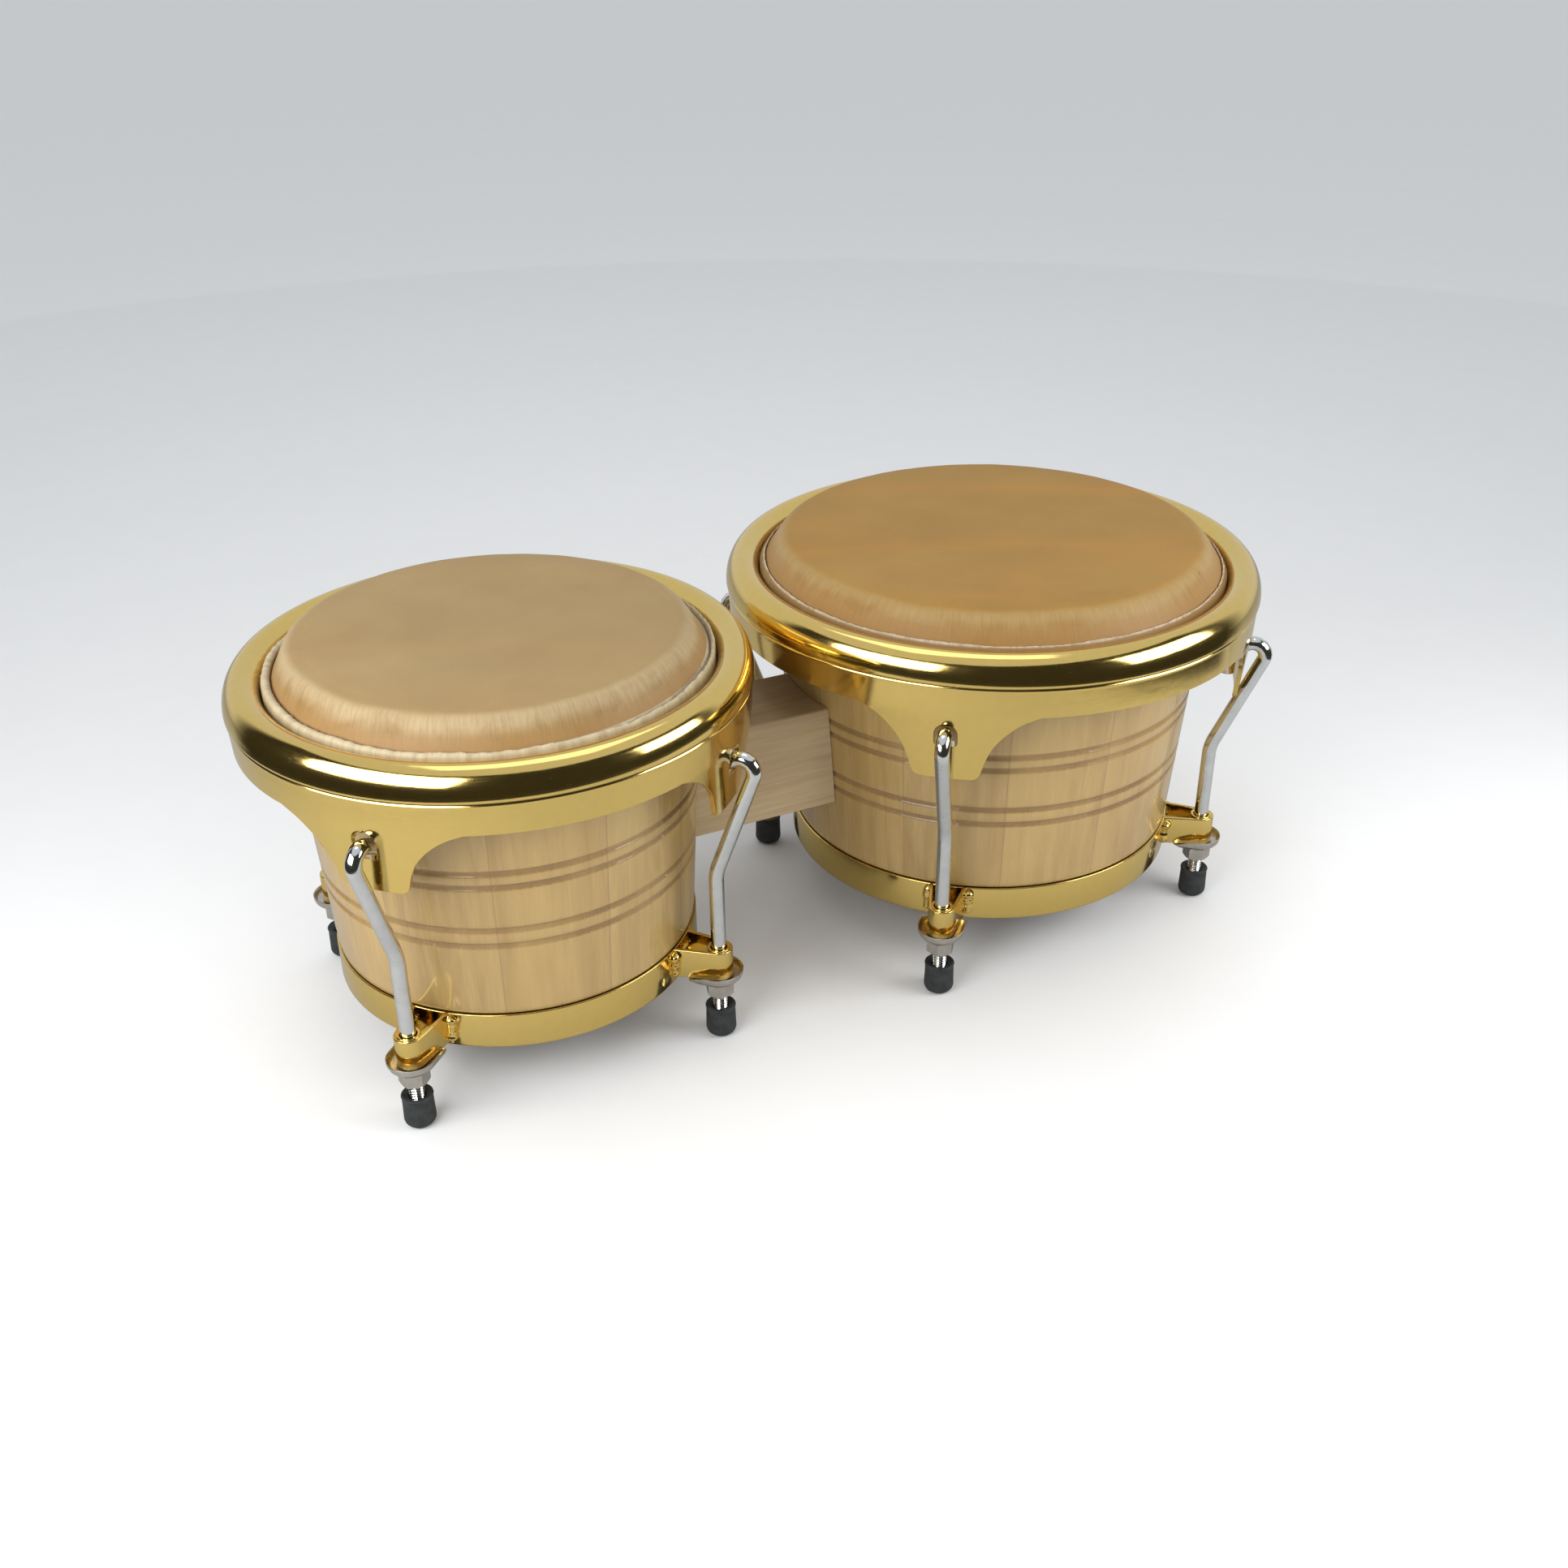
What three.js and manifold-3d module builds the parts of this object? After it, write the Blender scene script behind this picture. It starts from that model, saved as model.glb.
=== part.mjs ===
// A pair of bongo drums: two tapered wooden shells joined by a centre block, each with a skin
// held by a rolled metal rim, four J-hooks, a bottom ring with welded brackets, nuts and feet.
// Millimetres, +Z up. X runs along the line of the two drums, small drum at -X; the players'
// front is -Y. The origin lies on the floor under the middle of the whole object.
import * as THREE from "three";
import Module from "manifold-3d";
import { mergeVertices } from "three/addons/utils/BufferGeometryUtils.js";

const wasm = await Module();
wasm.setup();

// --- Driving dimensions -------------------------------------------------------------------
const SMALL = {
  name: "small",
  x: -126.5, // drum axis
  headR: 85.5, // shell radius at the bearing edge, a 6 3/4 inch head
  rimR: 107, // outermost radius of the rolled rim
  ringR: 78.6, // outside of the bottom ring
  firstLug: 45, // degrees from +X to the first lug
  collar: [[-9, 0], [-5.6, 0.7], [-3.8, 2.7], [-1.8, 6.4], [2.1, 14.2]], // out of headR, down
  rawEdge: [3.4, 5.7], // inside and outside of the skin's cut edge, out of headR
  earZ: 117, // lower edge of an ear
  slotZ: [131.4, 144.3],
  hookTop: 143.6, // height of the hook's outer bend
};
const LARGE = {
  name: "large",
  x: 111.5,
  headR: 100.6, // an 8 inch head
  rimR: 122,
  ringR: 91.8,
  firstLug: 50,
  collar: [[-11, 0], [-6.6, 0.9], [-4, 2.6], [-0.8, 6.5], [4.1, 14.4]],
  rawEdge: [4.5, 5.9],
  earZ: 114.2,
  slotZ: [130.4, 140.8],
  hookTop: 142.6,
};
const LUGS = ["back_right", "back_left", "front_left", "front_right"];

const FACETS = 32; // sides of the round parts
const FIT = 0.3; // clearance between touching pieces

const HEAD_TOP = 181.3; // height of the playing surface
const SKIN = 1.6; // skin thickness
const RAW_EDGE_TOP = 168.2; // cut edge of the skin, seen inside the rim
const TUCK_Z = 150.2; // lowest point of the skin, under the flesh hoop
const HOOP_R = 2.3; // radius of the flesh hoop's rod
const HOOP_OUT = 4.55; // hoop rod's centre beyond headR
const TUCK_OUT = 8.8; // outermost reach of the tucked skin beyond headR

const WALL = 8.2; // shell wall at its foot
const HEAD_R_Z = 172.5; // height where the shell's taper reaches headR
const SHOULDER_Z = 167; // where the taper gives way to the bearing edge

const RING_Z = 28; // underside of the bottom ring
const RING_H = 16.6;
const RING_TOP = RING_Z + RING_H;
const RING_T = 2;
const RING_FLANGE = 8; // inward reach of the flange that carries the shell

const GROOVES = [79, 86.5, 107, 113.5]; // heights of the turned grooves
const GROOVE_HALF = 1.5;
const GROOVE_DEPTH = 1;

const ROLL_HALF = 7.6; // half the width of the rim's rolled top
const ROLL_TOP = 171.2;
const ROLL_OUT_Z = 159.6; // height of the roll's outermost line
const ROLL_IN_Z = 163.6; // height where the roll turns down into the inner lip
const LIP_Z = 159.2; // lower end of the rim's inner lip
const CREASE_Z = 158; // crease between the roll and the band
const CREASE_INSET = 1.4; // crease set in from the roll's outermost radius
const SHEET = 2; // rim sheet thickness
const BAND_INSET = 1; // band set in from the roll's outermost radius
const BAND_Z = 145; // lower edge of the band between the ears
const EAR_LEAN = 3.6; // inward lean of an ear at its lower edge

const ROD_R = 3.2; // hook rod, 1/4 inch
const ROD_END = 3.5; // height of the rod's lower end, inside the tip
const LUG_OUT = 16.6; // hook rod's centre beyond the ring's outside
const BEND_Z = 82; // where the hook starts to lean outward
const HOOK_OUT = 10.6; // outer bend beyond the rim's radius
const HOOK_IN = 10.2; // inner leg inside the rim's radius
const HOOK_DROP = 10.7; // inner bend below the outer one
const HOOK_LEG = 10.5; // length of the inner leg
const TIP_R = 6.7;
const TIP_H = 15;
const TIP_FLAT = 3.2; // radius of the flat that stands on the floor

const BRACKET_Z = 30.8; // strap's lower edge
const BRACKET_T = 1.7;
const BRACKET_R = 6; // outer radius of the strap's nose
const ARM_HALF = 8.4; // half the spread of the arms at the ring
const PLATE_T = 1.5; // underplate sheet
const PLATE_R = 10.4; // outer radius of the underplate's nose
const PLATE_REACH = 11.5; // from the rod back towards the drum
const NUT_AF = 11.1; // 7/16 inch across flats
const NUT_H = 6.4;
const NUT_TOP = 27.7;

const BLOCK_Z = [71, 120];
const BLOCK_HALF = 21; // half of its thickness
const BOLT_Z = [82, 109];
const BOLT_R = 3;
const BOLT_HEAD_R = 5.8; // across the corners
const BOLT_HEAD_H = 4.5;
const WASHER_R = 8;
const WASHER_T = 1.6;

// --- Materials ----------------------------------------------------------------------------
function material(color, roughness, metalness) {
  return new THREE.MeshStandardMaterial({ color, roughness, metalness });
}

const WOOD = () => material(0xd9b98a, 0.35, 0);
const BLOCK_WOOD = () => material(0xc9a98c, 0.6, 0);
const SKIN_MATERIAL = () => material(0xb8955f, 0.7, 0);
const GOLD = () => material(0xd8ac4a, 0.12, 1);
const CHROME = () => material(0xd6d8da, 0.1, 1);
const NICKEL = () => material(0xb4aca2, 0.25, 1);
const STEEL = () => material(0x8c8c8a, 0.4, 1);
const RUBBER = () => material(0x1c1d1e, 0.7, 0);

// --- Geometry helpers ---------------------------------------------------------------------
// Twice the area a profile encloses, positive when it runs anticlockwise.
function turn(points) {
  return points.reduce((sum, [x, y], i) => {
    const [nextX, nextY] = points[(i + 1) % points.length];
    return sum + x * nextY - nextX * y;
  }, 0);
}

// A solid of revolution about Z from a closed profile of [radius, height] points.
function turned(profile, facets = FACETS) {
  const ordered = turn(profile) > 0 ? profile : [...profile].reverse();
  const start = ordered.findIndex(([r], i) => r === 0 && ordered.at(i - 1)[0] === 0);
  const open = [...ordered.slice(start), ...ordered.slice(0, start)];
  const loop = start < 0 ? [...ordered, ordered[0]] : open;
  const geometry = new THREE.LatheGeometry(loop.map(([r, z]) => new THREE.Vector2(r, z)), facets);
  return geometry.rotateX(Math.PI / 2);
}

// A flat outline of [x, y] points raised from z0 to z1.
function raised(outline, z0, z1, hole) {
  const shape = new THREE.Shape(outline.map(([x, y]) => new THREE.Vector2(x, y)));
  if (hole) {
    shape.holes.push(new THREE.Path(hole.map(([x, y]) => new THREE.Vector2(x, y))));
  }
  const geometry = new THREE.ExtrudeGeometry(shape, { depth: z1 - z0, bevelEnabled: false });
  return geometry.translate(0, 0, z0);
}

// An outline of [across, height] points pushed outward along X from x0 to x1.
function pushed(outline, x0, x1) {
  const geometry = raised(outline, x0, x1);
  const across = new THREE.Vector3(0, 1, 0);
  const height = new THREE.Vector3(0, 0, 1);
  const out = new THREE.Vector3(1, 0, 0);
  return geometry.applyMatrix4(new THREE.Matrix4().makeBasis(across, height, out));
}

// Points of an arc, angles in degrees.
function arc(cx, cy, r, from, to, steps) {
  return Array.from({ length: steps + 1 }, (_, i) => {
    const angle = THREE.MathUtils.degToRad(from + ((to - from) * i) / steps);
    return [cx + r * Math.cos(angle), cy + r * Math.sin(angle)];
  });
}

function circle(cx, cy, r, sides) {
  return arc(cx, cy, r, 0, 360, sides).slice(0, -1);
}

// A curve of [radius, height] points that runs outward and down, moved inward by a depth.
function sunk(curve, depth) {
  return curve.map(([r, z], i) => {
    const [r0, z0] = curve[Math.max(i - 1, 0)];
    const [r1, z1] = curve[Math.min(i + 1, curve.length - 1)];
    const length = Math.hypot(r1 - r0, z1 - z0);
    return [r + (depth * (z1 - z0)) / length, z - (depth * (r1 - r0)) / length];
  });
}

// A geometry as a manifold solid, for cutting and joining.
function solid(geometry) {
  const bare = new THREE.BufferGeometry();
  bare.setAttribute("position", geometry.getAttribute("position"));
  bare.setIndex(geometry.index);
  const merged = mergeVertices(bare, 1e-3);
  const index = merged.index.array;
  const triangles = [];
  for (let i = 0; i < index.length; i += 3) {
    const [a, b, c] = index.slice(i, i + 3);
    if (a !== b && b !== c && c !== a) {
      triangles.push(a, b, c);
    }
  }
  return new wasm.Manifold(new wasm.Mesh({
    numProp: 3,
    vertProperties: new Float32Array(merged.getAttribute("position").array),
    triVerts: new Uint32Array(triangles),
  }));
}

function geometryOf(manifold) {
  const mesh = manifold.getMesh();
  const geometry = new THREE.BufferGeometry();
  geometry.setAttribute("position", new THREE.BufferAttribute(new Float32Array(mesh.vertProperties), 3));
  geometry.setIndex(new THREE.BufferAttribute(new Uint32Array(mesh.triVerts), 1));
  return geometry;
}

function part(name, geometry, surface) {
  const mesh = new THREE.Mesh(geometry, surface);
  mesh.name = name;
  return mesh;
}

function lugAngles(drum) {
  return LUGS.map((_, i) => THREE.MathUtils.degToRad(drum.firstLug + 90 * i));
}

// --- Shell and skin -----------------------------------------------------------------------
// The shell's outside between the bottom ring and the bearing edge, tapering downward.
function shellRadius(drum, z) {
  const foot = drum.ringR - 0.8;
  const share = (z - RING_TOP) / (HEAD_R_Z - RING_TOP);
  return foot + (drum.headR - foot) * share;
}

// The skin's outside from the edge of the flat top down over the bearing edge.
function collar(drum) {
  return drum.collar.map(([out, down]) => [drum.headR + out, HEAD_TOP - down]);
}

function shellProfile(drum) {
  const rebate = drum.ringR - RING_T - FIT;
  const floor = RING_Z + RING_T + FIT;
  const shoulder = RING_TOP + FIT;
  const grooves = GROOVES.flatMap((z) => [
    [shellRadius(drum, z - GROOVE_HALF), z - GROOVE_HALF],
    [shellRadius(drum, z) - GROOVE_DEPTH, z],
    [shellRadius(drum, z + GROOVE_HALF), z + GROOVE_HALF],
  ]);
  const bearing = sunk(collar(drum), SKIN + FIT).slice(0, -1);
  const [crestR, crestZ] = bearing[0];
  return [
    [rebate - WALL, floor],
    [rebate, floor],
    [rebate, shoulder],
    [shellRadius(drum, shoulder), shoulder],
    ...grooves,
    [shellRadius(drum, SHOULDER_Z), SHOULDER_Z],
    ...bearing.reverse(),
    [crestR - 1.2, crestZ - 1.5],
    [crestR - 1.2, crestZ - 7],
  ];
}

// The bore on the inner side of the drum that a block bolt passes through.
function boltBore(side, z) {
  const length = 40;
  const bore = new THREE.CylinderGeometry(BOLT_R + FIT, BOLT_R + FIT, length, 12);
  return bore.rotateZ(Math.PI / 2).translate(side * 2 * length, 0, z);
}

function shell(drum, side) {
  const bores = BOLT_Z.map((z) => solid(boltBore(side, z)));
  const body = bores.reduce((wood, bore) => wood.subtract(bore), solid(turned(shellProfile(drum))));
  return part(`${drum.name}_shell`, geometryOf(body), WOOD());
}

// The skin: flat top, collar down the outside of the shell, and the turned-up edge that wraps
// under and round the flesh hoop and ends in the cut edge beside the collar.
function headProfile(drum) {
  const a = drum.headR;
  const wall = 0.3; // inside of the skin's upright part, out of headR
  const wrapIn = TUCK_Z + SKIN;
  const wrapTop = wrapIn + 2 * HOOP_R + 2 * FIT + 0.1;
  const [edgeIn, edgeOut] = drum.rawEdge;
  return [
    [0, HEAD_TOP - SKIN],
    [0, HEAD_TOP],
    ...collar(drum),
    [a + wall + SKIN, wrapTop + 4],
    [a + wall + SKIN, wrapIn],
    [a + TUCK_OUT - SKIN, wrapIn],
    [a + TUCK_OUT - SKIN, wrapTop],
    [a + edgeIn, wrapTop],
    [a + edgeIn, RAW_EDGE_TOP],
    [a + edgeOut, RAW_EDGE_TOP],
    [a + edgeOut, wrapTop + SKIN],
    [a + TUCK_OUT, wrapTop + SKIN],
    [a + TUCK_OUT, TUCK_Z],
    [a + wall, TUCK_Z],
    [a + wall, wrapTop + 4],
    ...sunk(collar(drum), SKIN).reverse(),
  ];
}

function head(drum) {
  return part(`${drum.name}_head`, turned(headProfile(drum)), SKIN_MATERIAL());
}

function fleshHoop(drum) {
  const section = circle(drum.headR + HOOP_OUT, TUCK_Z + SKIN + FIT + HOOP_R, HOOP_R, 6);
  return part(`${drum.name}_flesh_hoop`, turned(section), STEEL());
}

// --- Rim ----------------------------------------------------------------------------------
// One quarter of the roll: an upright oval's arc about the roll's middle, angles in degrees.
function quarter(cx, cz, half, tall, from, to, steps) {
  return arc(0, 0, 1, from, to, steps).map(([x, y]) => [cx + half * x, cz + tall * y]);
}

// One sheet: an inner lip, the rolled top, the crease and the upright band below it.
function rimProfile(drum) {
  const r = drum.rimR;
  const cx = r - ROLL_HALF;
  const bandOut = r - BAND_INSET;
  const creaseOut = r - CREASE_INSET;
  const half = ROLL_HALF - SHEET;
  const tallOut = ROLL_TOP - ROLL_OUT_Z;
  const tallIn = ROLL_TOP - ROLL_IN_Z;
  return [
    [bandOut, BAND_Z],
    [bandOut, CREASE_Z - 0.6],
    [creaseOut, CREASE_Z],
    ...quarter(cx, ROLL_OUT_Z, ROLL_HALF, tallOut, 0, 90, 4),
    ...quarter(cx, ROLL_IN_Z, ROLL_HALF, tallIn, 90, 180, 3).slice(1),
    [cx - ROLL_HALF, LIP_Z],
    [cx - half, LIP_Z],
    ...quarter(cx, ROLL_IN_Z, half, tallIn - SHEET, 180, 90, 3),
    ...quarter(cx, ROLL_OUT_Z, half, tallOut - SHEET, 90, 0, 3).slice(1),
    [creaseOut - SHEET, CREASE_Z],
    [bandOut - SHEET, CREASE_Z - 0.6],
    [bandOut - SHEET, BAND_Z],
  ];
}

// Half of an ear's outline, [half width, share of its height] from the bottom up.
const EAR_SIDE = [[12, 0], [14.6, 0.083], [16, 0.22], [18.4, 0.445], [21.2, 0.6], [25.5, 0.76], [31, 0.9]];
const EAR_ROOT = 38; // half width where the ear meets the band
const SLOT_HALF = 5;

function earOutline(drum) {
  const tall = BAND_Z - drum.earZ;
  const side = EAR_SIDE.map(([half, share]) => [half, drum.earZ + share * tall]);
  side.push([EAR_ROOT, BAND_Z], [EAR_ROOT, BAND_Z + 1]);
  const left = side.map(([half, z]) => [-half, z]).reverse();
  return [...side, ...left];
}

function slotOutline(drum) {
  const [low, high] = drum.slotZ;
  const arch = arc(0, high - SLOT_HALF, SLOT_HALF, 0, 180, 6);
  return [[-SLOT_HALF, low], [SLOT_HALF, low], ...arch];
}

function atLug(geometry, angle) {
  return geometry.rotateZ(angle);
}

function rim(drum) {
  const bandOut = drum.rimR - BAND_INSET;
  const earOut = bandOut - EAR_LEAN;
  const skirt = solid(turned([
    [earOut - SHEET, drum.earZ],
    [earOut, drum.earZ],
    [bandOut, BAND_Z],
    [bandOut, BAND_Z + 1],
    [bandOut - SHEET, BAND_Z + 1],
    [bandOut - SHEET, BAND_Z],
  ]));
  let body = solid(turned(rimProfile(drum)));
  for (const angle of lugAngles(drum)) {
    const ear = solid(atLug(pushed(earOutline(drum), bandOut - 20, bandOut + 4), angle));
    body = body.add(skirt.intersect(ear));
  }
  for (const angle of lugAngles(drum)) {
    const slot = solid(atLug(pushed(slotOutline(drum), bandOut - 8, bandOut + 4), angle));
    body = body.subtract(slot);
  }
  return part(`${drum.name}_rim`, geometryOf(body), GOLD());
}

// --- Bottom ring and brackets ---------------------------------------------------------------
// The strap seen from above, nose outward: its outside, or its inside when inset.
function strapOutline(drum, inset) {
  const rod = drum.ringR + LUG_OUT;
  const root = drum.ringR - 1;
  const nose = BRACKET_R - inset;
  const arm = ARM_HALF - inset;
  return [[root, -arm], ...arc(rod, 0, nose, -80, 80, 6), [root, arm]];
}

function bracket(drum) {
  const rod = drum.ringR + LUG_OUT;
  const bore = ROD_R + 0.4;
  const outside = solid(raised(strapOutline(drum, 0), BRACKET_Z, RING_TOP));
  const inside = solid(raised(strapOutline(drum, BRACKET_T), BRACKET_Z - 1, RING_TOP + 1));
  const bush = solid(raised(circle(rod, 0, BRACKET_R - 1, 10), BRACKET_Z, RING_TOP));
  const hole = solid(raised(circle(rod, 0, bore, 10), BRACKET_Z - 1, RING_TOP + 1));
  const tabReach = ARM_HALF + 3;
  const tab = [
    [drum.ringR - 1, -tabReach],
    [drum.ringR + 1.6, -tabReach],
    [drum.ringR + 1.6, tabReach],
    [drum.ringR - 1, tabReach],
  ];
  const tabs = solid(raised(tab, BRACKET_Z, RING_TOP)).subtract(inside);
  return outside.subtract(inside).add(bush).subtract(hole).add(tabs);
}

function bottomRing(drum) {
  const r = drum.ringR;
  const profile = [
    [r - RING_FLANGE, RING_Z],
    [r, RING_Z],
    [r, RING_TOP],
    [r - RING_T, RING_TOP],
    [r - RING_T, RING_Z + RING_T],
    [r - RING_FLANGE, RING_Z + RING_T],
  ];
  const inside = solid(turned([[0, 0], [r - RING_T, 0], [r - RING_T, 80], [0, 80]]));
  let body = solid(turned(profile));
  for (const angle of lugAngles(drum)) {
    const lug = bracket(drum).rotate([0, 0, THREE.MathUtils.radToDeg(angle)]);
    body = body.add(lug.subtract(inside));
  }
  return part(`${drum.name}_bottom_ring`, geometryOf(body), GOLD());
}

// --- Lug hardware ---------------------------------------------------------------------------
// A path through corner points with rounded corners; one section per returned point.
class RoundedPath extends THREE.Curve {
  constructor(points) {
    super();
    this.points = points;
  }

  getPoint(t) {
    const place = Math.min(t, 1) * (this.points.length - 1);
    const i = Math.min(Math.floor(place), this.points.length - 2);
    return this.points[i].clone().lerp(this.points[i + 1], place - i);
  }

  getUtoTmapping(u) {
    return u;
  }
}

// Points of a path that rounds each inner corner [x, z, radius] with the given arc steps.
function rounded(corners, steps) {
  const at = ([x, z]) => new THREE.Vector3(x, 0, z);
  const points = [at(corners[0])];
  corners.slice(1, -1).forEach((corner, i) => {
    const middle = at(corner);
    const back = at(corners[i]).sub(middle).normalize();
    const ahead = at(corners[i + 2]).sub(middle).normalize();
    const half = back.angleTo(ahead) / 2;
    const run = corner[2] / Math.tan(half);
    const from = middle.clone().addScaledVector(back, run);
    const to = middle.clone().addScaledVector(ahead, run);
    const towards = back.clone().add(ahead).normalize();
    const centre = middle.clone().addScaledVector(towards, corner[2] / Math.sin(half));
    for (let k = 0; k <= steps; k += 1) {
      const spoke = from.clone().lerp(to, k / steps).sub(centre).setLength(corner[2]);
      points.push(centre.clone().add(spoke));
    }
  });
  points.push(at(corners.at(-1)));
  return points;
}

function hookGeometry(drum) {
  const rod = drum.ringR + LUG_OUT;
  const innerBend = drum.hookTop - HOOK_DROP;
  const corners = [
    [rod, ROD_END],
    [rod, BEND_Z, 22],
    [drum.rimR + HOOK_OUT, drum.hookTop, 5.6],
    [drum.rimR - HOOK_IN, innerBend, 4.4],
    [drum.rimR - HOOK_IN, innerBend - HOOK_LEG],
  ];
  const points = rounded(corners, 3);
  const section = new THREE.Shape(circle(0, 0, ROD_R, 8).map(([x, y]) => new THREE.Vector2(x, y)));
  return new THREE.ExtrudeGeometry(section, {
    steps: points.length - 1,
    extrudePath: new RoundedPath(points),
  });
}

// The underplate: a stamped cup that follows the bracket's nose, with a shallow boss below.
function underplate(drum) {
  const rod = drum.ringR + LUG_OUT;
  const top = BRACKET_Z - FIT;
  const outline = (inset) => [
    [rod - PLATE_REACH, -PLATE_R + inset],
    ...arc(rod, 0, PLATE_R - inset, -90, 90, 5),
    [rod - PLATE_REACH, PLATE_R - inset],
  ];
  const wall = outline(1.2);
  wall[0][0] -= 1;
  wall.at(-1)[0] -= 1;
  const cup = solid(raised(outline(0), top - PLATE_T, top + 2.6));
  const hollow = solid(raised(wall, top, top + 4));
  const bossTop = top - PLATE_T + 0.2;
  const boss = solid(turned([[0, NUT_TOP + 0.1], [6.8, NUT_TOP + 0.1], [7.8, bossTop], [0, bossTop]], 10));
  const hole = solid(raised(circle(rod, 0, ROD_R + 0.5, 10), 0, 60));
  return geometryOf(cup.subtract(hollow).add(boss.translate([rod, 0, 0])).subtract(hole));
}

function nutGeometry(drum) {
  const rod = drum.ringR + LUG_OUT;
  const corner = NUT_AF / Math.sqrt(3);
  const bore = circle(rod, 0, ROD_R + 0.2, 12);
  return raised(circle(rod, 0, corner, 6), NUT_TOP - NUT_H, NUT_TOP, bore);
}

// A rubber tip pushed over the rod's end, with a small flat underneath that stands on the floor.
function tipGeometry(drum) {
  const bore = ROD_R + 0.2;
  const seat = ROD_END - 0.2;
  const profile = [
    [0, 0],
    [TIP_FLAT, 0],
    [TIP_R - 0.9, 1.5],
    [TIP_R, 4],
    [TIP_R, TIP_H - 0.7],
    [TIP_R - 0.7, TIP_H],
    [bore, TIP_H],
    [bore, seat],
    [0, seat],
  ];
  return turned(profile, 10).translate(drum.ringR + LUG_OUT, 0, 0);
}

function lugParts(drum) {
  return lugAngles(drum).flatMap((angle, i) => {
    const name = (what) => `${drum.name}_${what}_${LUGS[i]}`;
    return [
      part(name("hook"), atLug(hookGeometry(drum), angle), CHROME()),
      part(name("underplate"), atLug(underplate(drum), angle), NICKEL()),
      part(name("nut"), atLug(nutGeometry(drum), angle), NICKEL()),
      part(name("tip"), atLug(tipGeometry(drum), angle), RUBBER()),
    ];
  });
}

// --- Centre block and its bolts ---------------------------------------------------------------
// The block's ends are hollowed to sit against the two tapered shells.
function centreBlock() {
  const [low, high] = BLOCK_Z;
  const across = [[-BLOCK_HALF, low], [BLOCK_HALF, low], [BLOCK_HALF, high], [-BLOCK_HALF, high]];
  let body = solid(pushed(across, SMALL.x + 60, LARGE.x - 60));
  for (const drum of [SMALL, LARGE]) {
    const saddle = [
      [0, low - 5],
      [shellRadius(drum, low - 5) + FIT, low - 5],
      [shellRadius(drum, high + 5) + FIT, high + 5],
      [0, high + 5],
    ];
    body = body.subtract(solid(turned(saddle)).translate([drum.x, 0, 0]));
  }
  for (const z of BOLT_Z) {
    for (const [from, to] of boltSpans()) {
      const hole = raised(circle(0, 0, BOLT_R + FIT, 12), from - 1, to + 1).rotateY(Math.PI / 2);
      body = body.subtract(solid(hole.translate(0, 0, z)));
    }
  }
  return part("centre_block", geometryOf(body), BLOCK_WOOD());
}

// Where each drum's bolts lie along X, from their heads inside the shell to their ends.
function boltSpans() {
  return [
    [SMALL.x + boltSeat(SMALL), SMALL.x + SMALL.headR + 22],
    [LARGE.x - LARGE.headR - 18, LARGE.x - boltSeat(LARGE)],
  ];
}

// Distance from the drum's axis to the face that a bolt's washer bears on.
function boltSeat(drum) {
  return drum.ringR - RING_T - FIT - WALL - 1.2;
}

function blockBolt(drum, side, z) {
  const seat = boltSeat(drum) - WASHER_T - FIT;
  const end = Math.max(...boltSpans().map(([from, to]) => to - from)) - 4;
  const shank = raised(circle(0, 0, BOLT_R, 12), seat - 1, seat + end);
  const headHex = raised(circle(0, 0, BOLT_HEAD_R, 6), seat - BOLT_HEAD_H, seat);
  const bolt = geometryOf(solid(shank).add(solid(headHex))).rotateY(Math.PI / 2);
  return bolt.rotateZ(side > 0 ? 0 : Math.PI).translate(0, 0, z);
}

function blockWasher(drum, side, z) {
  const seat = boltSeat(drum);
  const hole = circle(0, 0, BOLT_R + FIT, 12);
  const washer = raised(circle(0, 0, WASHER_R, 16), seat - WASHER_T, seat, hole);
  return washer.rotateY(Math.PI / 2).rotateZ(side > 0 ? 0 : Math.PI).translate(0, 0, z);
}

function boltParts(drum, side) {
  return BOLT_Z.flatMap((z, i) => {
    const level = ["lower", "upper"][i];
    return [
      part(`${drum.name}_block_bolt_${level}`, blockBolt(drum, side, z), STEEL()),
      part(`${drum.name}_block_washer_${level}`, blockWasher(drum, side, z), STEEL()),
    ];
  });
}

// --- Assembly ---------------------------------------------------------------------------------
function drumGroup(drum, side) {
  const group = new THREE.Group();
  group.name = `${drum.name}_drum`;
  group.add(shell(drum, side), head(drum), fleshHoop(drum), rim(drum), bottomRing(drum));
  group.add(...lugParts(drum), ...boltParts(drum, side));
  group.position.x = drum.x;
  return group;
}

const bongos = new THREE.Group();
bongos.name = "bongo_drums";
bongos.add(drumGroup(SMALL, 1), drumGroup(LARGE, -1), centreBlock());

export default bongos;
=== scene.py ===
"""A pair of bongo drums: the looks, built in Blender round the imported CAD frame.

Meshes are worked out in millimetres round their drum's axis and stored in metres.
"""
import math

import bmesh
import bpy
import numpy as np
from mathutils import Matrix, Vector, noise


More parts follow.
